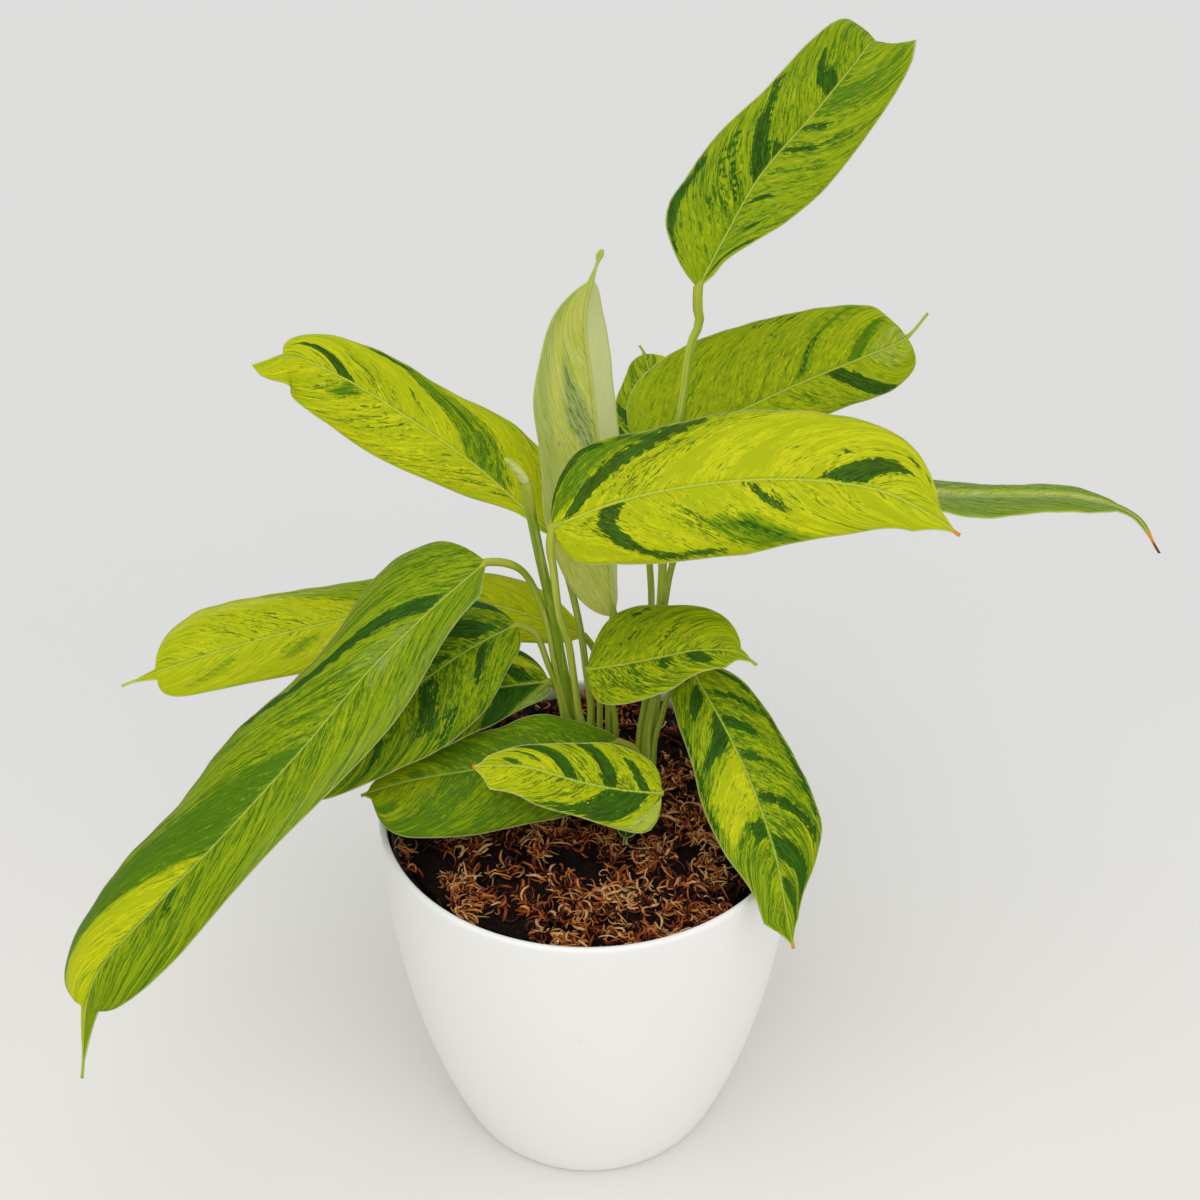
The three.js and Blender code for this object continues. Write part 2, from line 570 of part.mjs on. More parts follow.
function makeBlade(blade) {
  const midrib = new THREE.CatmullRomCurve3(blade.midrib.map(vector), false, 'centripetal');
  const bodyEnd = 1 - blade.tail;
  const bodyRows = blade.rows ?? BLADE_ROWS;
  const rows = [];
  for (let i = 0; i <= bodyRows; i += 1) rows.push((bodyEnd * (1 - Math.cos((Math.PI * i) / bodyRows))) / 2);
  for (let i = 1; i <= TAIL_ROWS; i += 1) rows.push(bodyEnd + (blade.tail * i) / TAIL_ROWS);
  const widest = Math.max(...blade.left, ...blade.right);
  const columns = 2 * HALF_COLUMNS + 1;
  const points = [];
  for (const u of rows) {
    const middle = midrib.getPointAt(u);
    const ahead = midrib.getPointAt(Math.min(u + TANGENT_STEP, 1));
    const along = ahead.sub(midrib.getPointAt(Math.max(u - TANGENT_STEP, 0))).normalize();
    const face = faceAt(u, blade.face);
    const up = face.addScaledVector(along, -face.dot(along)).normalize();
    const across = new THREE.Vector3().crossVectors(along, up);
    for (let column = 0; column < columns; column += 1) {
      const side = Math.sign(column - HALF_COLUMNS);
      const share = Math.abs(column - HALF_COLUMNS) / HALF_COLUMNS;
      const half = halfWidthAt(u, blade, side);
      const section = sectionAt(share, blade.fold, blade.arch);
      const phase = blade.waves * u + (side > 0 ? RIGHT_WAVE_SHIFT : 0);
      const wave = blade.wave * Math.sin(2 * Math.PI * phase) * share ** 2 * (half / widest);
      const point = middle.clone().addScaledVector(across, side * section.across * half);
      point.addScaledVector(up, section.up * half + wave);
      point.addScaledVector(along, lobeAt(u, blade, side, half) * share ** 2);
      const normal = up.clone();
      if (side !== 0) {
        normal.multiplyScalar(Math.cos(section.angle));
        normal.addScaledVector(across, -side * Math.sin(section.angle));
      }
      points.push(point.clone().addScaledVector(normal, BLADE_THICKNESS / 2).toArray());
      points.push(point.clone().addScaledVector(normal, -BLADE_THICKNESS / 2).toArray());
    }
  }
  const top = (row, column) => 2 * (row * columns + column);
  const under = (row, column) => top(row, column) + 1;
  const triangles = [];
  const last = rows.length - 1;
  for (let row = 0; row < last; row += 1) {
    for (let column = 0; column < columns - 1; column += 1) {
      const corners = [[row, column], [row + 1, column], [row + 1, column + 1], [row, column + 1]];
      const [a, b, c, d] = corners.map(([r, k]) => top(r, k));
      const [e, f, g, h] = corners.map(([r, k]) => under(r, k));
      triangles.push([a, c, b], [a, d, c], [e, f, g], [e, g, h]);
    }
    const end = columns - 1;
    triangles.push([top(row, 0), top(row + 1, 0), under(row + 1, 0)]);
    triangles.push([top(row, 0), under(row + 1, 0), under(row, 0)]);
    triangles.push([top(row, end), under(row + 1, end), top(row + 1, end)]);
    triangles.push([top(row, end), under(row, end), under(row + 1, end)]);
  }
  for (let column = 0; column < columns - 1; column += 1) {
    triangles.push([top(0, column), under(0, column), under(0, column + 1)]);
    triangles.push([top(0, column), under(0, column + 1), top(0, column + 1)]);
    triangles.push([top(last, column), under(last, column + 1), under(last, column)]);
    triangles.push([top(last, column), top(last, column + 1), under(last, column + 1)]);
  }
  return meshGeometry(points, triangles);
}

// A closed tube along a curve, with its own radius at each share of the length
function makeTube(curve, radiusAt, sides, steps) {
  const frames = curve.computeFrenetFrames(steps, false);
  const points = [];
  const triangles = [];
  for (let step = 0; step <= steps; step += 1) {
    const middle = curve.getPointAt(step / steps);
    const radius = radiusAt(step / steps);
    for (let side = 0; side < sides; side += 1) {
      const turn = (2 * Math.PI * side) / sides;
      const point = middle.clone().addScaledVector(frames.normals[step], radius * Math.cos(turn));
      points.push(point.addScaledVector(frames.binormals[step], radius * Math.sin(turn)).toArray());
    }
  }
  const at = (step, side) => step * sides + (side % sides);
  for (let step = 0; step < steps; step += 1) {
    for (let side = 0; side < sides; side += 1) {
      triangles.push([at(step, side), at(step, side + 1), at(step + 1, side + 1)]);
      triangles.push([at(step, side), at(step + 1, side + 1), at(step + 1, side)]);
    }
  }
  const first = points.push(curve.getPointAt(0).toArray()) - 1;
  const end = points.push(curve.getPointAt(1).toArray()) - 1;
  for (let side = 0; side < sides; side += 1) {
    triangles.push([first, at(0, side + 1), at(0, side)], [end, at(steps, side), at(steps, side + 1)]);
  }
  return meshGeometry(points, triangles);
}

// Where a stalk ends: just short of the base of what it carries, and further back the more it turns there
function stalkCurve(stalk, extraDepth) {
  const carried = blades.find((blade) => blade.name === stalk.carries);
  const path = (carried ? carried.midrib : rolledLeaf.path).map(vector);
  const points = [vector([...stalk.foot, FOOT_HEIGHT - extraDepth]), ...stalk.via.map(vector), path[0]];
  const back = points[points.length - 2].clone().sub(path[0]).normalize();
  const onward = path[1].clone().sub(path[0]).normalize();
  const bend = back.clone().negate().cross(onward).length();
  const endGap = (stalk.endGap ?? STALK_END_GAP) + BEND_SHARE * stalk.radius * bend;
  points[points.length - 1] = path[0].clone().addScaledVector(back, endGap);
  return new THREE.CatmullRomCurve3(points, false, 'centripetal');
}

function makeStalk(stalk, extra, sides) {
  const curve = stalkCurve(stalk, extra);
  const steps = Math.max(5, Math.round(curve.getLength() / STALK_STEP));
  const radiusAt = (u) => {
    const leaving = THREE.MathUtils.smoothstep(u, SHEATH_END, STALK_START);
    return THREE.MathUtils.lerp(SHEATH_RADIUS, stalk.radius, leaving) + extra;
  };
  return toSolid(makeTube(curve, radiusAt, sides, steps));
}

const joined = (solids) => solids.reduce((sum, solid) => sum.add(solid));

const holes = shoots.flatMap((shoot) => shoot.stalks.map((stalk) => makeStalk(stalk, HOLE_GAP, HOLE_SIDES)));
const stalkHoles = joined(holes);
const soil = largestBody(toSolid(makeSoil()).subtract(stalkHoles));
const moss = largestBody(toSolid(makeMoss()).subtract(stalkHoles));

addMesh('pot', makePot(), whitePlastic);
addMesh('grow_pot', makeGrowPot(), blackPlastic);
addMesh('potting_soil', toGeometry(soil), darkSoil);
addMesh('moss', toGeometry(moss), brownMoss);
for (const shoot of shoots) {
  const bundle = joined(shoot.stalks.map((stalk) => makeStalk(stalk, 0, STALK_SIDES)));
  addMesh(shoot.name, toGeometry(bundle), stalkGreen);
}
for (const blade of blades) {
  addMesh(blade.name, makeBlade(blade), bladeMaterials[blade.name] ?? leafLime);
}
const roll = new THREE.CatmullRomCurve3(rolledLeaf.path.map(vector), false, 'centripetal');
const rollSwell = (u) => THREE.MathUtils.lerp(ROLL_BASE_SHARE, ROLL_SHOULDER_SHARE, u);
const rollShape = (u) => Math.sqrt(1 - u ** 2) * rollSwell(u);
const rollRadius = (u) => rolledLeaf.radius * Math.max(ROLL_TIP_SHARE, rollShape(u));
addMesh('rolled_leaf', makeTube(roll, rollRadius, ROLL_SIDES, ROLL_SIDES), leafPale);

export default model;
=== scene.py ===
"""The looks of a potted ctenanthe lubbersiana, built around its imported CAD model

Lengths are in millimetres until the meshes are made. The frame is the CAD's: origin at the middle of the
pot's foot, +Z up, -Y to the front.
"""
import math

import bmesh
import bpy
import numpy as np
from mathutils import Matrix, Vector


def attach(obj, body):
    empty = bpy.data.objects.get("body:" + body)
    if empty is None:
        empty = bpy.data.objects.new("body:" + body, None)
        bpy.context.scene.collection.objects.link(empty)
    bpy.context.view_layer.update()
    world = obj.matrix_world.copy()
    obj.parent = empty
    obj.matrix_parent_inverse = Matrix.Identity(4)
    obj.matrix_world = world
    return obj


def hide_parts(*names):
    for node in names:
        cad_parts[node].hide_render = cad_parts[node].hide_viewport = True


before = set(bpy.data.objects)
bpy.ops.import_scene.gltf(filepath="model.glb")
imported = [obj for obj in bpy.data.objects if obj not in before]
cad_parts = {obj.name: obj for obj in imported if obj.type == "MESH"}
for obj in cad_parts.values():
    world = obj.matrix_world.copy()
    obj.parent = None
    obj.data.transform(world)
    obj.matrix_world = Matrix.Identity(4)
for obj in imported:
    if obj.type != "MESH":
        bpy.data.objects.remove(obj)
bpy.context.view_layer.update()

MM = 0.001

# Blades
WIDTH_STATIONS = np.array([0.1, 0.3, 0.5, 0.7, 0.9])
SLOPE_SHARE = 0.8
MIN_HALF_WIDTH = 0.8
TAIL_FADE = 1.5
TAIL_ROWS = 16
HALF_COLUMNS = 14
ARCH_STEPS = 24
SHEET_THICKNESS = 0.5
PLEAT_DEPTH, PLEAT_SPACING = 0.16, 5.3
RIPPLE_DEPTH = 0.35
RIB_GROOVE, RIB_HEIGHT = 0.22, 0.55
BULB_PLACE, BULB_SPREAD = 0.983, 0.012
VEIN_SHIFT = 300
MARK_SOFTNESS = 2.5

# Stalks
STALK_ROWS, STALK_SIDES = 64, 14
STALK_FOOT = 128
SHEATH_RADIUS = 2.6
KNEE_LENGTH, KNEE_FADE = 9, 6
STALK_RIBS = 0.07
USUAL_TINT = 0.5

# Pots
POT_HEIGHT, POT_RADIUS, POT_FOOT_RADIUS = 165, 90, 65.4
POT_WALL, POT_RIM, POT_FLOOR = 3, 1.5, 4
GROW_POT_FOOT, GROW_POT_TOP, GROW_POT_LIP = 4.3, 157.5, 150.5
GROW_POT_WALL = 1.4

# Moss
MOSS_HEIGHT = 156.6
BED_RADIUS, BED_FOOT = 79.6, 150.3
CLUMP_REACH, FIBRE_START_REACH, FIBRE_REACH = 84, 83, 85.3
OVER_LIP_HEIGHT = 158.5
FIBRE_STEPS = 8
FIBRE_SINK, FIBRE_RISE = 0.3, 4.2
FIBRE_FLATNESS = 0.6

# Each blade. Pairs are for its left and right side.
# halves: half-widths at WIDTH_STATIONS; face: upward directions from base to tip; fold, arch: degrees;
# tail: the drip tip's share of the length; blunt: powers of the rounding at the base and at the tip;
# lobes: how far the tip's sides reach ahead; wave, waves: height and number of the margin's waves;
# sweep: how far the side veins run forward, in mean half-widths; ground: mottling, flecks, paleness in all,
# the paleness partly painted sheen; dry_tip: how brown the tip is; bulb: width added near the end of the drip
# tip.
# The others are markings: strength in percent, side (-1 left, 1 right, 0 both), from and to across the
# half-width in percent, from and to along the midrib, where the side veins start that bound it, and these two
# once more for its outer end where they differ there.
# The pale markings are partly the leaves' own paler tissue and partly painted sheen and highlight where light
# glances off a blade.
MARK_KINDS = ("dark", "mid", "fleck", "pale", "clear")
USUAL = dict(tail_share=(1, 1), lobes=(0, 0), wave=0.8, waves=3, sweep=(1.8, 1.8), dry_tip=0.3, bulb=0,
             rows=96, slot="leaf_lime", **{kind: () for kind in MARK_KINDS})
BLADES = {
    "leaf_front_left_long": dict(
        midrib=[(-40, 10, 274), (-59, -8, 264), (-82, -30, 249), (-104, -52, 230), (-130, -76, 209),
            (-154, -95, 190), (-173, -110, 171), (-179, -124, 138)],
        halves=[(7, 20, 18, 17, 18), (34, 25, 32, 29, 24)],
        face=[(0, -0.5, 0.85), (-0.2, -0.55, 0.8), (-0.3, -0.6, 0.75)], fold=10, arch=45, tail=0.11,
        tail_width=(9, 5), blunt=[(1.4, 4.2), (3.2, 4.2)], wave=1.2, waves=4, sweep=(4.2, 3),
        ground=(0.65, 0.8, 0),
        dark=[(95, 1, 0, 100, 19, 29, 15, 36), (80, -1, 5, 35, 162, 168, 158, 164),
            (60, -1, 30, 75, 112, 118, 108, 114)],
        mid=[(100, 1, 0, 100, 96, 147, 100, 150)],
        fleck=[(90, 1, 10, 100, -70, 15), (75, 1, 0, 70, 30, 62)],
        pale=[(25, -1, 70, 100, -60, 100), (30, 0, 0, 30, 34, 60, 40, 60)],
        clear=[(80, 1, 0, 100, 151, 250, 154, 250)]),
    "leaf_left": dict(
        midrib=[(-2, 52, 214), (-44, 55, 228), (-92, 48, 228), (-139, 36, 223), (-180, 24, 215),
            (-200, 19, 209)],
        halves=[(11, 21, 22, 20, 16), (16, 20, 23, 25, 29)], face=[(0, -0.45, 0.9), (-0.2, -0.55, 0.85)],
        fold=8, arch=40, tail=0.075, tail_width=(6, 4), blunt=[(1.4, 1.6), (4.2, 2.5)], lobes=(2.5, 0),
        sweep=(2.8, 2.6), ground=(0.15, 0.2, 0),
        dark=[(50, -1, 10, 45, 80, 83, 78, 81)],
        mid=[(60, 1, 20, 100, 40, 92), (90, -1, 25, 60, 112, 120, 110, 118),
            (80, -1, 30, 80, 146, 151, 144, 149)],
        fleck=[(60, 1, 10, 75, 85, 150)],
        pale=[(35, 1, 75, 95, 60, 150)]),
    "leaf_upper_left": dict(
        midrib=[(-14, 51, 264), (-49, 63, 293), (-79, 68, 314), (-100, 69, 328), (-122, 66, 339),
            (-135, 58, 338)],
        halves=[(2, 14.5, 21, 21.5, 15.5), (22, 29, 25, 22, 18)], face=[(0.1, -0.6, 0.8), (-0.1, -0.6, 0.8)],
        fold=10, arch=40, tail=0.09, tail_width=(2.5, 3), tail_share=(0, 1), blunt=[(3, 1.4), (2.4, 2.6)],
        sweep=(2.6, 2.4), ground=(0.1, 0.35, 0),
        dark=[(100, 1, 0, 60, 105, 113, 104, 110), (80, 1, 88, 100, 40, 60, 44, 64),
            (70, 1, 20, 55, 67, 71, 65, 69), (70, -1, 10, 50, 21, 25, 19, 23),
            (60, -1, 5, 70, 75, 79, 73, 77)],
        mid=[(75, 1, 0, 100, 27, 51), (90, -1, 2, 45, 101, 108, 98, 105)],
        fleck=[(95, 1, 10, 90, 22, 50), (90, 1, 0, 70, 80, 97, 78, 94), (55, -1, 10, 95, 15, 112)]),
    "leaf_upright_young": dict(
        midrib=[(11, 32, 236), (8, 43, 267), (4, 52, 308), (1, 55, 336), (-1, 56, 357), (2, 56, 373),
            (6, 55, 385)],
        halves=[(3, 8, 12, 12, 10), (18, 26, 25, 24, 12)], face=[(-0.3, 0.9, 0.1)], fold=35, arch=19,
        tail=0.085, tail_width=(2.6, 2.8), blunt=[(2.2, 2.1), (1.8, 1.2)], wave=0.6, waves=2,
        sweep=(4.5, 3.5), ground=(0.02, 0.12, 0.5), bulb=1.1, slot="leaf_pale",
        dark=[(60, 1, 60, 92, 37, 41, 30, 34)],
        mid=[(80, 1, 8, 50, 62, 84, 58, 92), (50, 1, 75, 100, -20, 90)],
        fleck=[(50, 1, 40, 100, 0, 60)],
        pale=[(100, -1, 0, 100, -60, 160)],
        clear=[(60, 1, 10, 55, 10, 60, 10, 58)]),
    "leaf_centre_right": dict(
        midrib=[(-13, 3, 293), (9, 4, 302), (39, 3, 310), (75, -2, 315), (107, -10, 314), (125, -19, 308),
            (134, -24, 303)],
        halves=[(27, 30, 33, 32, 21), (21, 28, 28, 22, 11)], face=[(-0.05, -0.68, 0.73), (0, -0.68, 0.73)],
        fold=8, arch=40, tail=0.063, tail_width=(7, 8.5), blunt=[(1.9, 4.2), (1.2, 1.2)], wave=1,
        ground=(0.12, 0.22, 0), dry_tip=0.8,
        dark=[(100, -1, 75, 100, -50, -24, -45, -14), (80, -1, 90, 100, -14, 5, -12, 14),
            (100, -1, 6, 50, 2, 9, 3, 17), (90, -1, 45, 100, 3, 17, 1, 20), (75, -1, 32, 52, 94, 98),
            (80, -1, 68, 95, 97, 102, 99, 104), (100, -1, 4, 52, 100, 117, 107, 116),
            (95, 1, 0, 32, 19, 30, 9, 17), (95, 1, 26, 74, 9, 17, -1, 8), (85, 1, 70, 100, -1, 8, 4, 14),
            (70, 1, 86, 100, 8, 32, 10, 36), (85, 1, 4, 55, 73, 79, 75, 80), (70, 1, 50, 95, 55, 59, 60, 64)],
        mid=[(90, -1, 30, 100, -24, 2), (80, 1, 50, 100, 42, 66, 44, 68)],
        fleck=[(85, -1, 10, 100, 12, 36, 18, 40), (80, 1, 10, 60, 6, 18, -2, 8),
            (80, 1, 35, 95, 32, 58, 34, 60), (70, 1, 10, 40, 103, 112)],
        clear=[(60, -1, 0, 100, 44, 96)]),
    "leaf_small_centre": dict(
        midrib=[(0, 6, 226), (13, 3, 230), (29, -2, 237), (45, -6, 243), (59, -11, 245), (66, -17, 243)],
        halves=[(18, 25, 23, 20, 13), (15, 16, 14, 9, 4.5)], face=[(0, -0.65, 0.75), (0.2, -0.65, 0.75)],
        fold=13, arch=36, tail=0.12, tail_width=(3.8, 7), blunt=[(1.6, 4.2), (1.5, 3.4)], wave=0.6,
        ground=(0.4, 0.65, 0), dry_tip=0.5, rows=60,
        dark=[(80, -1, 10, 60, 28, 31, 26, 29), (90, -1, 78, 98, -6, 0), (85, -1, 40, 62, 8, 11),
            (80, -1, 75, 95, 13, 16), (80, -1, 30, 50, -2, 1), (100, 1, 0, 60, 42, 50, 40, 48),
            (70, 1, 2, 40, 30, 37, 27, 33), (60, 1, 20, 90, 14, 17, 12, 15), (60, 1, 30, 95, 2, 5, 0, 3)],
        mid=[(55, -1, 10, 100, -25, 24)],
        fleck=[(70, -1, 15, 100, -22, 20, -22, 26), (95, 1, 0, 95, -16, 60)]),
    "leaf_right_hanging": dict(
        midrib=[(44, 10, 222), (58, -15, 206), (67, -37, 193), (73, -57, 180), (76, -74, 166),
            (78, -82, 158)],
        halves=[(17, 22, 24, 23, 8), (14, 18, 21, 19, 8)], face=[(0.1, -0.7, 0.7), (0.3, -0.85, 0.4)], fold=8,
        arch=34, tail=0.06, tail_width=(4.4, 9), blunt=[(3.4, 4.2), (1.2, 2.7)], ground=(0.55, 0.9, 0),
        dry_tip=0.7, slot="leaf_dark",
        dark=[(100, -1, 4, 50, 20, 27, 19, 25), (100, -1, 70, 96, -23, -14, -20, -10),
            (75, -1, 84, 100, -12, 40, -5, 46), (90, -1, 20, 48, 6, 9, 4, 8), (90, -1, 45, 85, 3, 7, 0, 5),
            (100, -1, 5, 36, 37, 41, 36, 40), (95, -1, 5, 92, 54, 60, 49, 57),
            (90, -1, 0, 92, 74, 85, 66, 78), (80, -1, 5, 80, 88, 97, 84, 92), (100, 1, 0, 45, 17, 33, 22, 31),
            (90, 1, 40, 75, 22, 30, 20, 26), (85, 1, 10, 62, 2, 12, 0, 8), (65, 1, 86, 100, -8, 45, -4, 45),
            (80, 1, 2, 36, 66, 76, 62, 72)],
        mid=[(70, 1, 30, 95, 62, 92, 60, 92)],
        fleck=[(95, -1, 25, 100, 5, 48), (90, 1, 0, 100, -22, 20)],
        clear=[(75, 1, 0, 80, 36, 62, 36, 60)]),
    "leaf_small_front": dict(
        midrib=[(30, -25, 186), (11, -27, 190), (-6, -30, 197), (-24, -32, 205), (-38, -35, 208),
            (-45, -37, 209)],
        halves=[(16, 14, 12.5, 12, 7), (16, 19, 16, 11, 6)], face=[(0, -0.6, 0.8), (-0.1, -0.6, 0.8)],
        fold=12, arch=31, tail=0.055, tail_width=(9, 3), blunt=[(4.2, 2.7), (2.4, 1.9)], wave=0.6,
        ground=(0.3, 0.75, 0), dry_tip=0.9, rows=60,
        dark=[(100, 1, 2, 72, 4, 9, -1, 4), (100, 1, 2, 100, 18, 24, 9, 17), (100, 1, 2, 100, 35, 42, 32, 42),
            (65, 1, 10, 50, 57, 63, 56, 61), (60, 1, 30, 85, 47, 52, 44, 49), (85, -1, 2, 95, 4, 23, 2, 26),
            (60, -1, 72, 100, 22, 34, 24, 36)],
        fleck=[(75, 1, 0, 100, 8, 34, 4, 32), (75, -1, 0, 100, 26, 60)],
        pale=[(40, -1, 30, 100, -30, -1)],
        clear=[(50, 0, 0, 100, 43, 90)]),
    "leaf_over_rim": dict(
        midrib=[(13, 9, 187), (-1, -2, 192), (-18, -11, 194), (-44, -19, 194), (-64, -23, 193),
            (-79, -26, 191), (-91, -30, 189)],
        halves=[(21, 26, 26, 26, 22), (9, 19, 17, 15, 8)],
        face=[(0, -0.78, 0.62), (0, -0.62, 0.78), (0, -0.55, 0.83)], fold=9, arch=38, tail=0.03,
        tail_width=(5, 2.3), blunt=[(3.8, 1.6), (4.2, 1.7)], ground=(0.85, 0.35, 0),
        mid=[(85, -1, 35, 100, -40, 52, -40, 50), (95, 1, 20, 100, -25, 17), (95, 1, 2, 36, 84, 93, 84, 91),
            (80, 1, 35, 60, 69, 77), (90, -1, 40, 70, 86, 93), (85, -1, 5, 90, 66, 71, 60, 66)],
        clear=[(35, 0, 0, 100, 78, 120)]),
    "leaf_inner_left": dict(
        midrib=[(-30, 20, 239), (-47, 9, 235), (-70, -10, 227), (-93, -29, 215), (-111, -44, 203),
            (-117, -50, 196)],
        halves=[(15, 25, 27, 21, 13), (28, 26, 24, 20, 12)], face=[(0.05, -0.5, 0.85), (-0.1, -0.6, 0.8)],
        fold=8, arch=45, tail=0.08, tail_width=(3.5, 3.5), blunt=[(2.4, 2.4), (2.4, 2.4)],
        ground=(0.65, 0.95, 0), slot="leaf_dark",
        dark=[(100, 1, 10, 80, 5, 18, 3, 16), (95, 1, 50, 100, -24, -8), (100, -1, 8, 62, 12, 18, 11, 16),
            (85, -1, 5, 70, 38, 49, 36, 46), (70, -1, 60, 100, 24, 32, 22, 32),
            (80, -1, 5, 80, 66, 71, 62, 67), (80, 1, 5, 50, 28, 36, 28, 34)],
        fleck=[(90, 0, 0, 100, -30, 70)]),
    "leaf_lower_left": dict(
        midrib=[(-17, 21, 210), (-46, 10, 212), (-65, -4, 210), (-84, -19, 204), (-101, -31, 195),
            (-109, -37, 190)],
        halves=[(10, 16, 16, 11, 5), (23, 20, 19, 16, 13)], face=[(0, -0.45, 0.9), (-0.2, -0.5, 0.8)], fold=9,
        arch=43, tail=0.066, tail_width=(2.9, 2.9), blunt=[(3.2, 2.7), (2.6, 2.4)], ground=(0.65, 0.95, 0),
        rows=60, slot="leaf_dark",
        dark=[(100, -1, 0, 100, 2, 23, 3, 22), (100, 1, 74, 100, -30, 0, -30, 4),
            (80, 1, 5, 50, 3, 14, 3, 12), (80, -1, 30, 90, 36, 44, 34, 42)],
        fleck=[(85, 0, 0, 100, 20, 110)],
        pale=[(35, -1, 0, 100, -30, 1, -30, 2)],
        clear=[(90, 1, 40, 75, -8, 6)]),
    "leaf_back_right": dict(
        midrib=[(22, 54, 301), (63, 76, 311), (95, 96, 318), (125, 115, 323), (145, 128, 327),
            (157, 140, 335)],
        halves=[(30, 36, 34, 30, 23), (8, 14, 18, 18, 19)], face=[(0.2, -0.8, 0.5)], fold=10, arch=35,
        tail=0.11, tail_width=(2.2, 2.2), blunt=[(3.2, 2.4), (3.8, 4.2)], ground=(0.45, 0.3, 0),
        dark=[(70, -1, 10, 62, 79, 83, 77, 81), (70, -1, 15, 50, 87, 90, 86, 89),
            (65, -1, 60, 86, 46, 49, 45, 48), (65, -1, 90, 100, 26, 52, 28, 54),
            (80, -1, 20, 46, 13, 18, 11, 16), (90, 1, 2, 100, 96, 107, 95, 110)],
        mid=[(100, -1, 0, 66, 109, 119, 107, 118), (95, -1, 5, 62, 78, 85, 75, 83),
            (85, -1, 55, 100, 75, 84, 74, 86)],
        fleck=[(60, 1, 20, 100, 60, 92)],
        pale=[(30, 0, 0, 50, 121, 150)]),
    "leaf_back": dict(
        midrib=[(30, 101, 268), (32, 122, 277), (32, 144, 286), (30, 163, 295), (27, 177, 304),
            (25, 182, 306)],
        halves=[(16, 19, 20, 19, 11), (16, 17, 17, 16, 16)], face=[(0, -0.7, 0.7), (0, -0.5, 0.8)], fold=13,
        arch=46, tail=0.08, tail_width=(2.2, 2.2), blunt=[(2.4, 2.4), (3.1, 2.6)], wave=0.6,
        ground=(0.5, 0.8, 0), rows=60,
        dark=[(100, -1, 10, 95, 22, 34, 18, 30), (80, -1, 50, 100, 2, 12, 0, 12),
            (80, 1, 5, 90, 30, 38, 28, 36)],
        clear=[(80, 1, 10, 100, 44, 70)]),
    "leaf_top": dict(
        midrib=[(42, 42, 374), (52, 57, 388), (67, 76, 408), (89, 95, 428), (106, 111, 444), (114, 121, 451),
            (118, 127, 450), (120, 131, 446)],
        halves=[(21, 24, 21.5, 20.5, 17), (4, 18.5, 23.5, 22, 16.5)],
        face=[(0, -0.9, 0.5), (0, -0.9, 0.5), (0.2, -0.3, 0.9)], fold=22, arch=30, tail=0.066,
        tail_width=(2.4, 2.4), blunt=[(1.5, 1.5), (4.2, 4)], lobes=(9, 22), wave=0.6, ground=(0.6, 0.5, 0),
        dark=[(100, -1, 0, 75, 48, 60, 50, 60), (90, -1, 70, 100, 51, 60, 54, 62),
            (90, -1, 0, 20, 60, 71, 62, 66), (100, -1, 2, 35, 97, 107, 92, 102),
            (80, -1, 30, 70, 91, 99, 88, 94), (85, -1, 20, 85, 28, 32, 29, 33),
            (85, -1, 12, 80, 35, 39, 36, 40), (90, -1, 85, 100, -25, 12, -25, 22),
            (80, -1, 40, 60, 19, 23, 18, 22), (75, 1, 5, 55, 66, 70), (80, 1, 45, 90, 68, 72),
            (75, 1, 2, 42, 79, 83, 78, 82), (85, 1, 12, 46, 38, 42), (100, 1, 44, 60, 19, 24),
            (100, 1, 40, 95, -4, 2, 0, 6)],
        mid=[(85, 1, 3, 92, 84, 104, 86, 106), (60, 1, 10, 90, 54, 62)],
        fleck=[(85, -1, 15, 90, 16, 46)]),
    "leaf_far_right": dict(
        midrib=[(86, 60, 280), (126, 65, 279), (162, 69, 275), (215, 68, 274), (236, 59, 270),
            (243, 44, 260)],
        halves=[(16, 18, 19, 16, 14), (20, 24, 26, 24, 16)], face=[(0, 0.1, 0.95)], fold=20, arch=40,
        tail=0.16, tail_width=(9, 9), blunt=[(2.4, 2.4), (2.2, 2.2)], sweep=(3, 3), ground=(0.5, 0.3, 0.3),
        dry_tip=1,
        mid=[(80, 0, 30, 100, -60, 170)],
        pale=[(50, 0, 0, 25, -20, 170)]),
    "leaf_under_front": dict(
        midrib=[(23, -2, 168), (20, -12, 170), (17, -22, 169), (15, -32, 165)],
        halves=[(4, 7, 8, 7, 4), (4, 7, 8, 7, 4)], face=[(0, -0.1, 1), (0, -0.3, 0.9)], fold=10, arch=30,
        tail=0.1, tail_width=(1.5, 1.5), blunt=[(2.4, 2.4), (2, 2)], wave=0.3, waves=2, ground=(1, 0.8, 0),
        rows=60, slot="leaf_dark",
        dark=[(100, 0, 0, 100, -30, 40)]),
}
BLADES = {name: {**USUAL, **blade} for name, blade in BLADES.items()}

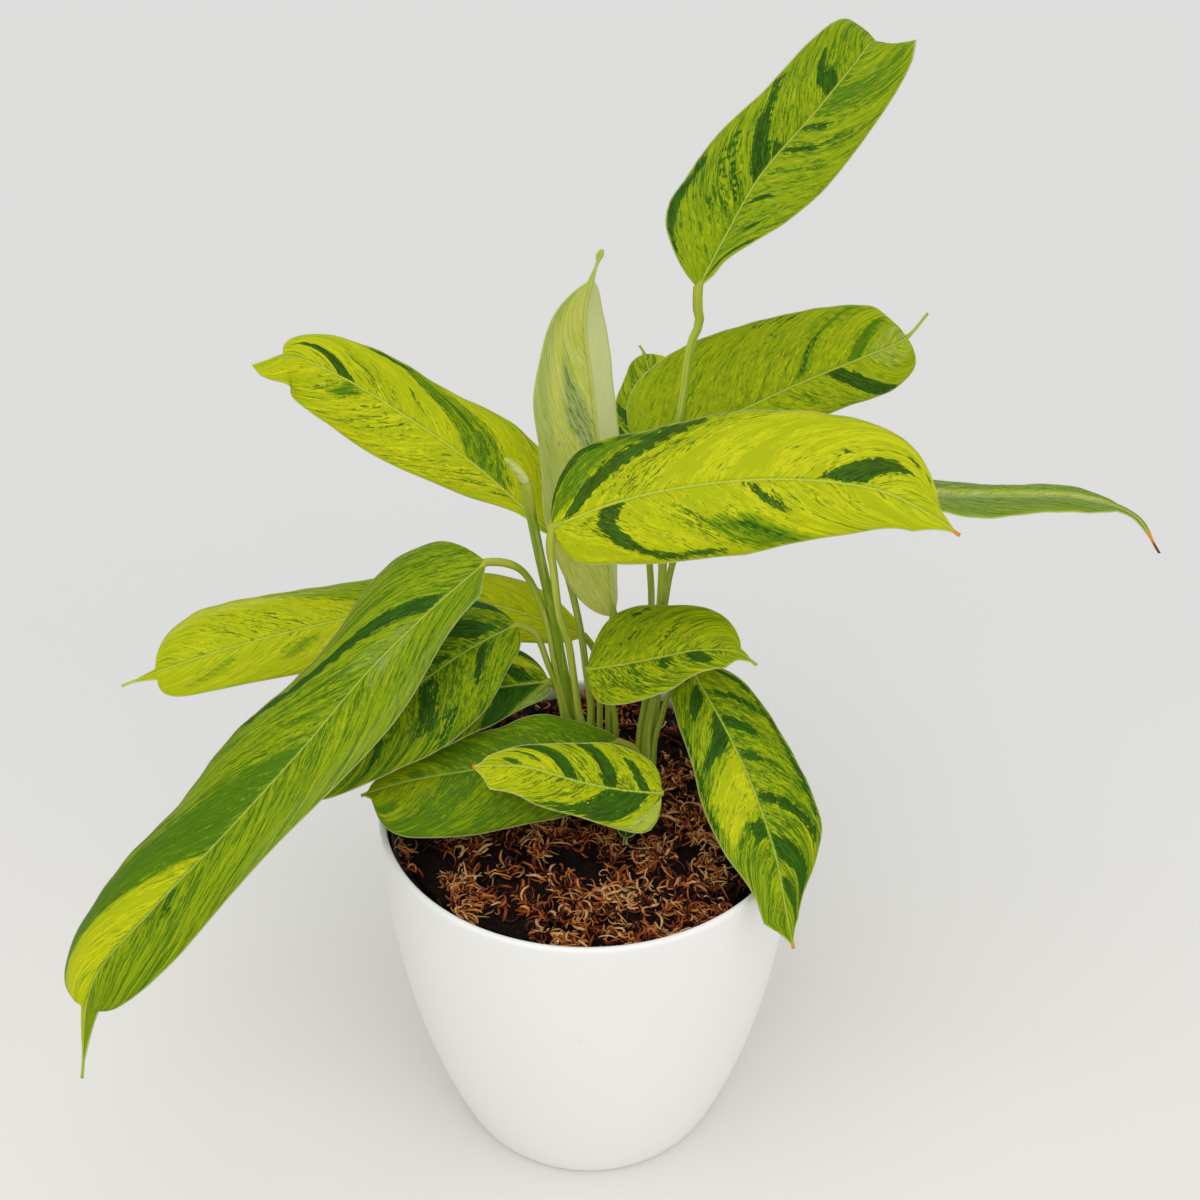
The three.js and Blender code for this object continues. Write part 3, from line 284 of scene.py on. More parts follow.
# Each stalk: what it carries, its radius, its foot's x and y, and the points that it passes
SHOOTS = {
    "shoot_left": [
        ("leaf_front_left_long", 1.4, (-5, 11), [(-7, 16, 186), (-10, 18, 199), (-14, 20, 219),
            (-16, 20, 234), (-19, 19, 248), (-24, 18, 262), (-29, 14, 270), (-35, 12, 273)]),
        ("leaf_inner_left", 1.3, (-6, 14), [(-10, 16, 188), (-13, 19, 207), (-17, 19, 220), (-20, 21, 229),
            (-22, 21, 234), (-26, 21, 237)]),
        ("leaf_lower_left", 1.3, (-4, 16), [(-7, 18, 184), (-11, 20, 198), (-14, 22, 206)]),
        ("rolled_leaf", 2, (-1, 13), [(-5, 17, 184), (-7, 19, 195), (-10, 19, 214), (-13, 20, 233),
            (-16, 21, 252), (-19, 21, 269), (-22, 22, 287)]),
        ("leaf_centre_right", 1.5, (1, 10), [(-2, 12, 188), (-4, 12, 200), (-6, 10, 220), (-8, 7, 239),
            (-11, 4, 252), (-13, 1, 275), (-14, 1, 286)]),
    ],
    "shoot_middle": [
        ("leaf_upper_left", 1.5, (3, 18), [(1, 21, 181), (1, 26, 194), (-1, 32, 208), (-3, 37, 223),
            (-7, 44, 241), (-11, 49, 254)]),
        ("leaf_left", 1.3, (6, 20), [(5, 24, 179), (5, 36, 190), (5, 47, 200), (2, 51, 208)]),
        ("leaf_upright_young", 1.6, (9, 18), [(9, 21, 181), (9, 25, 198), (10, 28, 217)]),
        ("leaf_small_centre", 1.3, (12, 15), [(12, 16, 185), (11, 16, 198), (7, 12, 210), (2, 8, 220)]),
    ],
    "shoot_right": [
        ("leaf_back_right", 1.4, (23, 12), [(23, 19, 183), (25, 23, 199), (27, 35, 241), (26, 39, 258),
            (24, 47, 284)]),
        ("leaf_back", 1.4, (25, 13), [(27, 21, 180), (29, 34, 194), (32, 62, 224), (33, 75, 239),
            (32, 92, 257)]),
        ("leaf_top", 1.6, (24.5, 9), [(26, 15, 186), (29, 19, 207), (31, 24, 247), (31, 27, 264),
            (33, 32, 295), (36, 36, 321), (38, 38, 337), (40, 40, 353), (43, 41, 361), (42, 41, 367)]),
        ("leaf_far_right", 1.4, (27, 11), [(28, 17, 184), (30, 24, 203), (33, 39, 238), (36, 45, 254),
            (43, 52, 272), (58, 56, 280), (75, 58, 282)]),
        ("leaf_right_hanging", 1.2, (28, 9), [(29, 13, 185), (31, 13, 195), (34, 14, 207), (39, 13, 218)]),
        ("leaf_small_front", 1.2, (26, 6), [(27, 4, 168), (28, -7, 177), (29, -17, 182)]),
        ("leaf_over_rim", 1.3, (21.5, 9), [(22, 9, 175), (20, 9, 183)]),
        ("leaf_under_front", 1, (24, 5), [(24, 4, 163)]),
    ],
}

ROLLED_LEAF = [(-24, 22, 303), (-26, 21, 307), (-29, 21, 311), (-32, 20, 314)]
STALK_TINTS = {"rolled_leaf": 0.95, "leaf_centre_right": 0.3, "leaf_front_left_long": 0.45}


# Curves
def spline(points):
    """Dense points of a centripetal Catmull-Rom curve through the given ones, and the length up to each"""
    given = [np.array(p, float) for p in points]
    given = [2 * given[0] - given[1]] + given + [2 * given[-1] - given[-2]]
    dense = []
    for i in range(len(given) - 3):
        p0, p1, p2, p3 = given[i:i + 4]
        pairs = ((p0, p1), (p1, p2), (p2, p3))
        d0, d1, d2 = (max(np.linalg.norm(b - a) ** 0.5, 1e-4) for a, b in pairs)
        slope1 = ((p1 - p0) / d0 - (p2 - p0) / (d0 + d1) + (p2 - p1) / d1) * d1
        slope2 = ((p2 - p1) / d1 - (p3 - p1) / (d1 + d2) + (p3 - p2) / d2) * d1
        t = np.linspace(0, 1, 40, endpoint=i == len(given) - 4)[:, None]
        cubic = 2 * p1 - 2 * p2 + slope1 + slope2
        square = -3 * p1 + 3 * p2 - 2 * slope1 - slope2
        dense.append(p1 + slope1 * t + square * t ** 2 + cubic * t ** 3)
    dense = np.vstack(dense)
    steps = np.linalg.norm(np.diff(dense, axis=0), axis=1)
    return dense, np.concatenate([[0], np.cumsum(steps)])


def along(curve, share):
    dense, length = curve
    distance = np.asarray(share) * length[-1]
    return np.stack([np.interp(distance, length, dense[:, k]) for k in range(3)], -1)


def unit(vectors):
    return vectors / np.maximum(np.linalg.norm(vectors, axis=-1, keepdims=True), 1e-12)


def smoothstep(x, low, high):
    t = np.clip((x - low) / (high - low), 0, 1)
    return t * t * (3 - 2 * t)


def turns(sides):
    return 2 * np.pi * np.arange(sides) / sides


# Meshes
def add_object(name, data):
    added = bpy.data.objects.new(name, data)
    bpy.context.scene.collection.objects.link(added)
    return added


def make_mesh(name, places, faces, face_slots=None, closed=True):
    mesh = bpy.data.meshes.new(name)
    mesh.from_pydata((places * MM).tolist(), [], faces, shade_flat=False)
    if face_slots:
        mesh.polygons.foreach_set("material_index", face_slots)
    mesh.update()
    if closed:
        shape = bmesh.new()
        shape.from_mesh(mesh)
        bmesh.ops.recalc_face_normals(shape, faces=shape.faces)
        shape.to_mesh(mesh)
        shape.free()
    return add_object(name, mesh)


def threes(shape, *values):
    """Three values for each point of a grid, as one row per point"""
    return np.stack([np.broadcast_to(value, shape) for value in values], -1).reshape(-1, 3)


def set_vectors(piece, name, values):
    """Stores three values per vertex for the material to read"""
    attribute = piece.data.attributes.new(name, "FLOAT_VECTOR", "POINT")
    attribute.data.foreach_set("vector", np.ascontiguousarray(values, np.float32).ravel())


def sheet_faces(rows, columns):
    """Faces of a closed sheet between two grids, and their slots: 1 for the underside, 0 for the others"""
    count = rows * columns
    i, j = np.meshgrid(np.arange(rows - 1), np.arange(columns - 1), indexing="ij")
    a = i * columns + j
    upper = np.stack([a, a + columns, a + columns + 1, a + 1], -1).reshape(-1, 4)
    rim = list(range(0, count, columns)) + list(range(count - columns + 1, count))
    rim += list(range(count - columns - 1, 0, -columns)) + list(range(columns - 2, 0, -1))
    edge = [[a, a + count, b + count, b] for a, b in zip(rim, rim[1:] + rim[:1])]
    slots = [0] * len(upper) + [1] * len(upper) + [0] * len(edge)
    return upper.tolist() + (upper[:, ::-1] + count).tolist() + edge, slots


def closed_rings(rings, start, end):
    """Vertices and faces of a closed body: its rings of points, then the middles of its two ends"""
    rows, sides = rings.shape[:2]
    ring = [(j, (j + 1) % sides) for j in range(sides)]
    faces = []
    for a in range(0, (rows - 1) * sides, sides):
        faces += [[a + j, a + k, a + sides + k, a + sides + j] for j, k in ring]
    last = (rows - 1) * sides
    for j, k in ring:
        faces += [[rows * sides, k, j], [rows * sides + 1, last + j, last + k]]
    return np.concatenate([rings.reshape(-1, 3), [start, end]]), faces


# Blades: the same formulas as the CAD part's, with more rows and columns
def between_stations(x, values):
    slope = SLOPE_SHARE * np.gradient(values, WIDTH_STATIONS)
    x = np.clip(x, WIDTH_STATIONS[0], WIDTH_STATIONS[-1])
    i = np.clip(np.searchsorted(WIDTH_STATIONS, x, side="right") - 1, 0, len(WIDTH_STATIONS) - 2)
    h = WIDTH_STATIONS[1] - WIDTH_STATIONS[0]
    t = (x - WIDTH_STATIONS[i]) / h
    return ((2 * t ** 3 - 3 * t ** 2 + 1) * values[i] + (t ** 3 - 2 * t ** 2 + t) * h * slope[i]
            + (-2 * t ** 3 + 3 * t ** 2) * values[i + 1] + (t ** 3 - t ** 2) * h * slope[i + 1])


def oblong(x, base, tip):
    """Height of a round-ended form from 0 to 1, blunter at an end where its power is higher"""
    a = 2 * np.clip(x, 0, 1) - 1
    power = np.where(a < 0, base, tip)
    return np.maximum(1 - np.abs(a) ** power, 0) ** (1 / power)


def half_width(u, blade, hand):
    """Half-width at shares of the length, for the left side, 0, or the right, 1"""
    x = np.minimum(u / (1 - blade["tail"] * blade["tail_share"][hand]), 1)
    ends = [pair[hand] for pair in blade["blunt"]]
    body = between_stations(x, blade["halves"][hand] / oblong(WIDTH_STATIONS, *ends)) * oblong(x, *ends)
    end = blade["tail_width"][hand] * np.clip((1 - u) / (TAIL_FADE * blade["tail"]), 0, 1) ** 1.35
    end = end * np.clip(u / 0.05, 0, 1)
    return np.maximum(np.cbrt(body ** 3 + end ** 3), MIN_HALF_WIDTH)


def blade_rows(blade, rows):
    """Where each row stands: share of the length, place, upward and sideways direction; and the length"""
    curve = spline(blade["midrib"])
    tail = blade["tail"]
    tail_rows = max(int(rows * tail * 1.2), TAIL_ROWS)
    body = (1 - tail) * (1 - np.cos(np.pi * np.linspace(0, 1, rows + 1))) / 2
    u = np.concatenate([body, 1 - tail + tail * np.linspace(0, 1, tail_rows + 1)[1:]])
    tangent = unit(along(curve, np.minimum(u + 0.008, 1)) - along(curve, np.maximum(u - 0.008, 0)))
    stops = np.linspace(0, 1, len(blade["face"]))
    face = np.stack([np.interp(u, stops, [f[k] for f in blade["face"]]) for k in range(3)], -1)
    up = unit(face - (face * tangent).sum(1, keepdims=True) * tangent)
    return u, along(curve, u), up, np.cross(tangent, up), curve[1][-1]


def mark_field(marks, q, v):
    """Strength of one kind of marking, soft at the edges of its areas"""
    field = np.zeros_like(q)
    out = np.abs(v)
    for strength, side, v0, v1, *limits in marks:
        v0, v1 = v0 / 100, v1 / 100
        low0, high0, low1, high1 = (limits * 2)[:4]
        t = np.clip((out - v0) / (v1 - v0), 0, 1)
        low = low0 + (low1 - low0) * t
        high = high0 + (high1 - high0) * t
        inside = smoothstep(q, low - MARK_SOFTNESS, low + MARK_SOFTNESS)
        inside = inside * (1 - smoothstep(q, high - MARK_SOFTNESS, high + MARK_SOFTNESS))
        inside = inside * smoothstep(out, v0 - 0.1, v0 + 0.06) * (1 - smoothstep(out, v1 - 0.1, v1 + 0.1))
        if side:
            inside = inside * (v * side > 0)
        field = np.maximum(field, strength / 100 * inside)
    return field


def make_blade(name, blade, number):
    """A thin closed leaf: upper face, underside with a raised midrib, pleats along the side veins"""
    rows, middle, up, across, length = blade_rows(blade, blade["rows"])
    u = rows[:, None]
    share = np.linspace(0, 1, HALF_COLUMNS + 1) ** 1.25
    v = np.concatenate([-share[::-1], share[1:]])
    side, out = np.sign(v), np.abs(v)

    # Each side is a bent arc: its columns lie at the sums of its directions
    steps = (np.arange(ARCH_STEPS) + 0.5) / ARCH_STEPS
    angles = np.radians(blade["fold"] - blade["arch"] * out[:, None] * steps)
    reach = side * (np.cos(angles) * out[:, None]).mean(1)
    rise = (np.sin(angles) * out[:, None]).mean(1)
    lean = np.where(v == 0, 0, np.radians(blade["fold"] - blade["arch"] * out))
    left, right = (half_width(u, blade, hand) for hand in (0, 1))
    bulb = blade["bulb"] * np.exp(-((u - BULB_PLACE) / BULB_SPREAD) ** 2)
    half = np.where(v > 0, right, left) + bulb
    given = np.array(blade["halves"])
    widest = given.max()
    phase = blade["waves"] * u + np.where(v > 0, 0.37, 0)
    wave = blade["wave"] * np.sin(2 * np.pi * phase) * v ** 2 * half / widest
    normal = up[:, None] * np.cos(lean)[:, None] - across[:, None] * (side * np.sin(lean))[:, None]

    # Side veins leave the midrib at an angle and then run along the margin: q is where each one starts
    left, right = blade["sweep"] * given.mean(1)
    q = u * length - np.where(v > 0, right, left) * (0.6 * out + 0.4 * out ** 3)
    w = half * v
    edge = half * (1 - out)

    pleat = PLEAT_DEPTH * np.sin(2 * np.pi * q / PLEAT_SPACING + 1.3 * np.sin(q / 9 + number))
    pleat = pleat * smoothstep(np.abs(w), 1, 5) * smoothstep(edge, 0, 4)
    ripple = RIPPLE_DEPTH * np.sin(u * length / 7.1 + number) * np.sin(u * length / 3.7 + 2 * side)
    ripple = ripple * out ** 6 * np.minimum(half / 12, 1)
    thin = np.minimum(half / 3, 1)
    rib_width = (1.15 - 0.75 * u) * min(1, widest / 18)
    rib = np.exp(-(w / rib_width) ** 2) * thin
    thickness = SHEET_THICKNESS * (1 - 0.5 * v ** 4) * thin
    left, right = blade["lobes"] / given.max(1)
    ahead = smoothstep(u / (1 - blade["tail"]), 0.55, 0.9) * (np.where(v > 0, right, left) * v ** 2) * half
    place = middle[:, None] + across[:, None] * (reach * half)[..., None]
    place = place + up[:, None] * (rise * half + wave)[..., None]
    place = place + np.cross(up, across)[:, None] * ahead[..., None]
    upper = place + normal * (thickness / 2 + pleat + ripple - RIB_GROOVE * rib)[..., None]
    lower = place - normal * (thickness / 2 - pleat - ripple + RIB_HEIGHT * rib * (1 - 0.6 * u))[..., None]
    places = np.concatenate([upper.reshape(-1, 3), lower.reshape(-1, 3)])
    piece = make_mesh(name + "_fine", places, *sheet_faces(*q.shape))

    # The pale markings hold paler tissue and painted sheen together
    dark, mid, fleck, pale, clear = (mark_field(blade[kind], q, v) for kind in MARK_KINDS)
    all_mid, all_fleck, all_pale_and_sheen = blade["ground"]
    tip = smoothstep(u, 1 - blade["tail"] * 0.8, 1) * blade["dry_tip"]
    for attribute, *values in (
            ("vein", q + VEIN_SHIFT * number, w, edge),
            ("tone", dark, np.maximum(fleck, all_fleck * (1 - clear)), np.maximum(pale, all_pale_and_sheen)),
            ("cast", np.maximum(mid, all_mid * (1 - clear)), tip, rib)):
        set_vectors(piece, attribute, np.tile(threes(q.shape, *values), (2, 1)))
    return piece


# Stalks
def directions_around(points, sides):
    """Directions square to a line at each of its points, without a twist from one point to the next"""
    tangent = unit(np.gradient(points, axis=0))
    side = np.zeros_like(points)
    side[0] = unit(np.cross(tangent[0], (0, 1, 0.2)))
    for i in range(1, len(points)):
        side[i] = unit(side[i - 1] - np.dot(side[i - 1], tangent[i]) * tangent[i])
    turn = turns(sides)[:, None]
    return np.cos(turn) * side[:, None] + np.sin(turn) * np.cross(tangent, side)[:, None]


def tube(points, radii, around, ribs=0.0):
    """Vertices and faces of a closed tube, with ribs along it"""
    sides = around.shape[1]
    ribbed = np.asarray(radii)[:, None] * (1 + ribs * np.cos(sides / 2 * turns(sides)))
    return closed_rings(points[:, None] + around * ribbed[..., None], points[0], points[-1])


def make_shoot(name, stalks):
    """Ribbed stalks that start as wide sheaths, and end in a smooth knee below their blades"""
    places, faces, grains, tints = [], [], [], []
    turn = turns(STALK_SIDES)
    for index, (carried, radius, foot, via) in enumerate(stalks):
        blade = BLADES.get(carried)
        bare = spline([(*foot, STALK_FOOT), *via, (blade["midrib"] if blade else ROLLED_LEAF)[0]])
        share = np.linspace(0, 1, STALK_ROWS)
        points = along(bare, share)
        length = bare[1][-1]
        knee = smoothstep(share * length, length - KNEE_LENGTH - KNEE_FADE, length - KNEE_LENGTH)
        radii = SHEATH_RADIUS + (radius - SHEATH_RADIUS) * smoothstep(share, 0.12, 0.5)
        radii = radii * (1 + 0.16 * knee)
        if blade:
            # The stalk runs on under the blade for a few millimetres, and thins out there
            _, _, up, _, blade_length = blade_rows(blade, 40)
            ahead = along(spline(blade["midrib"]), np.array([2.5, 6.0]) / blade_length)
            points = np.vstack([points, ahead - up[:1] * np.array([[0.5], [0.6]])])
            radii = np.append(radii, [radius * 0.75, 0.35])
            knee = np.append(knee, [1, 1])
            share = np.append(share, [1.01, 1.03])
        around = directions_around(points, STALK_SIDES)
        first = sum(len(p) for p in places)
        own_places, own_faces = tube(points, radii, around, STALK_RIBS)
        places.append(own_places)
        faces += [[corner + first for corner in face] for face in own_faces]
        height = (share * length)[:, None]
        # Each stalk's own tone plus painted side light and shade: paler on its left side, darker on its right
        tone_and_side_shade = np.clip(STALK_TINTS.get(carried, USUAL_TINT) + 0.45 * around[..., 0], 0, 1)
        shape = around.shape[:2]
        for store, rows in ((grains, threes(shape, np.cos(turn) * 3 + 11 * index, np.sin(turn) * 3, height)),
                            (tints, threes(shape, knee[:, None], tone_and_side_shade, height))):
            store.append(np.vstack([rows, rows[:1], rows[-1:]]))
    piece = make_mesh(name + "_fine", np.concatenate(places), faces)
    set_vectors(piece, "grain", np.concatenate(grains))
    set_vectors(piece, "tint", np.concatenate(tints))
    return piece


def make_rolled_leaf():
    """A slim roll with the edge of its outer turn showing"""
    rows, sides = 40, 22
    share = np.linspace(0, 1, rows)
    points = along(spline(ROLLED_LEAF), share)
    radii = 2.1 * np.maximum(0.1, np.sqrt(np.maximum(1 - share ** 2, 0)) * (0.75 + 0.5 * share))
    places, faces = tube(points, radii, directions_around(points, sides))
    turn = np.append(np.tile(np.arange(sides) / sides, rows), [0, 0])
    seam = np.append(np.repeat(share, sides), [0, 1])
    row = np.append(np.repeat(np.arange(rows), sides), [0, rows - 1])
    step = (turn + seam * 0.4) % 1
    places = places + (places - points[row]) * (0.1 * (1 - step))[:, None]
    piece = make_mesh("rolled_leaf_fine", places, faces)
    set_vectors(piece, "vein", threes(seam.shape, step * 12, seam * 12, 2))
    set_vectors(piece, "tone", threes(seam.shape, 0, 0.3, 0.8 - 0.4 * seam))
    set_vectors(piece, "cast", threes(seam.shape, 0.3, 0, 0))
    return piece


# Pots
def turned(name, profile, sides):
    """A closed body turned about the upright axis from radius and height pairs that start and end on it"""
    (_, start), *pairs, (_, end) = profile
    radius, height = np.array(pairs, float).T[..., None]
    turn = turns(sides)
    rings = np.stack([radius * np.cos(turn), radius * np.sin(turn), height + 0 * turn], -1)
    return make_mesh(name, *closed_rings(rings, (0, 0, start), (0, 0, end)))


def pot_radius(height):
    return POT_FOOT_RADIUS + (POT_RADIUS - POT_FOOT_RADIUS) * (1 - (1 - height / POT_HEIGHT) ** 2.32)


def make_pot():
    top = POT_HEIGHT - POT_RIM
    heights = 1.3 + (top - 1.3) * np.linspace(0, 1, 40) ** 1.2
    edge = [(64.1, 0), (64.6, 0.1), (65.2, 0.5)]
    outer = [(pot_radius(height), height) for height in heights]
    middle = pot_radius(top) - POT_RIM
    bend = np.radians(np.arange(15, 180, 15))
    rim = [(middle + POT_RIM * math.cos(a), top + POT_RIM * math.sin(a)) for a in bend]
    inner = [(pot_radius(height) - POT_WALL, height) for height in heights[::-1] if height > POT_FLOOR + 2]
    floor_edge = (pot_radius(POT_FLOOR) - 5, POT_FLOOR)
    return turned("pot_fine", [(0, 0), *edge, *outer, *rim, *inner, floor_edge, (0, POT_FLOOR)], 176)


def grow_pot_radius(height):
    return 58 + 24.5 * ((height - GROW_POT_FOOT) / (GROW_POT_TOP - GROW_POT_FOOT)) ** 0.62


def make_grow_pot():
    heights = [GROW_POT_FOOT, 12, 25, 42, 60, 82, 105, 128, GROW_POT_LIP]
    outer = [(grow_pot_radius(height), height) for height in heights]
    under = GROW_POT_LIP + GROW_POT_WALL
    lip = [(85.1, GROW_POT_LIP), (85.5, 150.9), (85.5, 157), (85.2, GROW_POT_TOP), (84.4, GROW_POT_TOP),
           (84.1, 157.1), (84.1, under)]
    inner = [(grow_pot_radius(GROW_POT_LIP) - GROW_POT_WALL, under)]
    inner += [(grow_pot_radius(height) - GROW_POT_WALL, height) for height in heights[-2:1:-1]]
    floor_top = GROW_POT_FOOT + GROW_POT_WALL
    profile = [(0, GROW_POT_FOOT), *outer, *lip, *inner, (56.6, floor_top), (0, floor_top)]
    return turned("grow_pot_fine", profile, 128)


# Moss
def lattice(i, j):
    """A value from -1 to 1 that looks random, the same each time for the same whole numbers"""
    mix = np.sin(i * 127.1 + j * 311.7 + 7.3) * 43758.5453
    return 2 * (mix - np.floor(mix)) - 1


def lump(x, y, size):
    """Smooth lumps from -1 to 1, of about the given size"""
    i, j = np.floor(x / size), np.floor(y / size)
    s, t = smoothstep(x / size - i, 0, 1), smoothstep(y / size - j, 0, 1)
    near, far = (lattice(i, k) + (lattice(i + 1, k) - lattice(i, k)) * s for k in (j, j + 1))
    return near + (far - near) * t


def moss_top(x, y):
    fall = 1.6 * smoothstep(np.hypot(x, y), 60, 82.5)
    return MOSS_HEIGHT + 1.4 * lump(x, y, 19) + 2.7 * lump(x, y, 7) - fall


def fibre_ground(x, y):
    """The bed's top, and the grow pot's lip where the fibres reach over it"""
    bed = moss_top(x, y)
    over_lip = smoothstep(np.hypot(x, y), 77, 82.5)
    return bed + np.maximum(OVER_LIP_HEIGHT - bed, 0) * over_lip


def make_moss_bed():
    """The dark crumbly ground under the fibres"""
    rings, sides = 70, 200
    radius = BED_RADIUS * (np.arange(1, rings + 1) / rings)[:, None] ** 0.9
    turn = turns(sides)
    x, y = radius * np.cos(turn), radius * np.sin(turn)
    z = moss_top(x, y) - 0.9 + 0.8 * lump(x, y, 2.3) + 0.4 * lump(x, y, 1.1)
    top = np.stack([x, y, z], -1)
    foot = top[-1:] * (1, 1, 0) + (0, 0, BED_FOOT)
    body = closed_rings(np.concatenate([top, foot]), (0, 0, moss_top(0, 0)), (0, 0, BED_FOOT))
    return make_mesh("moss_bed", *body)


def held_in(spot, reach):
    """Flat places pulled in to the reach where they are further out"""
    out = np.maximum(np.hypot(*spot.T), 1e-6)
    return spot * np.minimum(1, reach / out)[:, None]


def fibre_lines(count, rng, length, lift):
    """Random curled lines that lie in clumps on the bed, and how bright each one's clump is"""
    clumps = rng.uniform(-1, 1, (900, 2)) * CLUMP_REACH
    clumps = clumps[np.hypot(*clumps.T) < CLUMP_REACH]
    x, y = clumps.T
    clumps = clumps[lump(x + 11, y + 5, 13) + 0.5 * lump(x, y, 6) > -0.1 - 0.004 * x]
    brightness = rng.uniform(-0.3, 1.1, len(clumps)) - 0.003 * clumps[:, 1]
    own = rng.integers(0, len(clumps), count)
    spot = held_in(clumps[own] + rng.normal(0, 1.9, (count, 2)), FIBRE_START_REACH)
    heading = rng.uniform(0, 2 * np.pi, len(clumps))[own] + rng.normal(0, 1.1, count)
    rise = rng.normal(0.15, 0.35, count)
    direction = unit(np.stack([np.cos(heading), np.sin(heading), rise], -1))
    axis = unit(rng.normal(0, 1, (count, 3)) + np.array([0, 0, 1]) * rng.choice([-1, 1], count)[:, None])
    bend = rng.uniform(0.1, 0.65, count)[:, None]
    stride = rng.uniform(*length, count)[:, None] / FIBRE_STEPS
    place = np.column_stack([spot, fibre_ground(*spot.T) + rng.uniform(0, lift, count)])
    line = [place]
    for _ in range(FIBRE_STEPS):
        axis = unit(axis + rng.normal(0, 0.35, (count, 3)))
        direction = unit(direction + np.cross(axis, direction) * bend)
        place = place + direction * stride
        place[:, :2] = held_in(place[:, :2], FIBRE_REACH)
        ground = fibre_ground(*place[:, :2].T)
        place[:, 2] = np.clip(place[:, 2], ground - FIBRE_SINK, ground + FIBRE_RISE)
        line.append(place)
    return np.stack(line, 1), brightness[own]


def make_fibres(name, count, rng, length, width, lift, tone):
    """Curled fibres in one piece, three-sided and thinner at both ends"""
    line, brightness = fibre_lines(count, rng, length, lift)
    tangent = unit(np.gradient(line, axis=1))
    side = unit(np.cross(tangent, rng.normal(0, 1, (count, 1, 3)) + np.array([0, 0, 1.5])))
    third = np.cross(tangent, side)
    taper = 0.25 + 0.75 * np.sin(np.pi * np.linspace(0.06, 0.96, FIBRE_STEPS + 1)) ** 0.7
    thick = rng.uniform(*width, count)[:, None] * taper / 2
    corners = []
    for turn in np.radians([90, 210, 330]):
        wide, high = np.cos(turn) * thick, np.sin(turn) * FIBRE_FLATNESS * thick
        corners.append(line + side * wide[..., None] + third * high[..., None])
    first = 3 * (FIBRE_STEPS + 1) * np.arange(count)[:, None]
    row = first[:, None] + 3 * np.arange(FIBRE_STEPS)[:, None]
    a, b = row + [0, 1, 2], row + [1, 2, 0]
    quads = np.stack([a, b, b + 3, a + 3], -1)
    caps = np.stack([first + [2, 1, 0], first + 3 * FIBRE_STEPS + [0, 1, 2]], 1)
    faces = quads.reshape(-1, 4).tolist() + caps.reshape(-1, 3).tolist()
    piece = make_mesh(name, np.stack(corners, 2).reshape(-1, 3), faces, closed=False)
    # Each clump's brightness and a random tone, plus painted shade and light: darker near the bed, lighter
    # higher up
    height = (line[..., 2] - fibre_ground(line[..., 0], line[..., 1])) / 4
    tone_and_painted_shade = 0.25 + 0.45 * brightness[:, None] + 0.3 * height + rng.normal(0, 0.16, (count, 1)) + tone
    tint = threes(tone_and_painted_shade.shape, np.clip(tone_and_painted_shade, 0, 1), rng.uniform(0, 1, (count, 1)), 0)
    set_vectors(piece, "tint", np.repeat(tint, 3, axis=0))
    return piece


# Materials
def colour(code):
    """A colour written as in a paint chart, as linear light"""
    parts = [int(code[i:i + 2], 16) / 255 for i in (0, 2, 4)]
    return tuple(p / 12.92 if p <= 0.04045 else ((p + 0.055) / 1.055) ** 2.4 for p in parts) + (1,)


class Shader:
    """Short calls for the nodes of one material; a colour may be given as its code"""

    def __init__(self, name):
        self.material = bpy.data.materials.new(name)
        self.material.use_nodes = True
        self.tree = self.material.node_tree
        self.surface = self.tree.nodes["Principled BSDF"]

    def put(self, value, socket):
        if isinstance(value, bpy.types.NodeSocket):
            self.tree.links.new(value, socket)
        else:
            socket.default_value = colour(value) if isinstance(value, str) else value

    def finish(self, **values):
        for name, value in values.items():
            self.put(value, self.surface.inputs[name.replace("_", " ")])
        return self.material

    def node(self, kind, inputs=(), output=0, **settings):
        """An output of a new node, whose inputs are given by their places or names"""
        node = self.tree.nodes.new("ShaderNode" + kind)
        for name, value in settings.items():
            setattr(node, name, value)
        for key, value in inputs.items() if isinstance(inputs, dict) else enumerate(inputs):
            self.put(value, node.inputs[key])
        return node.outputs[output]

    def math(self, operation, a, b=0):
        return self.node("Math", (a, b), operation=operation)

    def times(self, a, b):
        return self.math("MULTIPLY", a, b)

    def plus(self, a, b):
        return self.math("ADD", a, b)

    def spread(self, value, amount):
        """A noise about 0 in place of about a half"""
        return self.times(self.math("SUBTRACT", value, 0.5), amount)

    def mix(self, share, a, b):
        return self.node("Mix", {0: share, 6: a, 7: b}, 2, data_type="RGBA")

    def coats(self, base, *coats):
        """A colour under coats of others, each given by its share and its colour"""
        for share, tint in coats:
            base = self.mix(share, base, tint)
        return base

    def step(self, value, low, high, start=0, end=1):
        return self.node("MapRange", (value, low, high, start, end), interpolation_type="SMOOTHSTEP")

    def noise(self, vector, scale=1, detail=3, rough=0.55):
        return self.node("TexNoise", dict(Vector=vector, Scale=scale, Detail=detail, Roughness=rough))

    def cells(self, vector, scale=1, output="Color"):
        return self.node("TexVoronoi", dict(Vector=vector, Scale=scale), output)

    def warped(self, vector, amount):
        """The vector, shifted this way and that by a noise"""
        shift = self.node("TexNoise", dict(Vector=vector, Scale=1.3), "Color")
        return self.node("VectorMath", (shift, (amount, amount, 0), vector), operation="MULTIPLY_ADD")

    def split(self, vector):
        return self.node("SeparateXYZ", (vector,), slice(3))

    def parts(self, name):
        """The three values that the mesh holds under this name"""
        return self.split(self.node("Attribute", (), "Vector", attribute_name=name))

    def vector(self, x, y, z=0):
        return self.node("CombineXYZ", (x, y, z))

    def place(self):
        return self.node("TexCoord", (), "Object")

    def bump(self, height, strength, distance):
        return self.node("Bump", dict(Height=height, Strength=strength, Distance=distance))


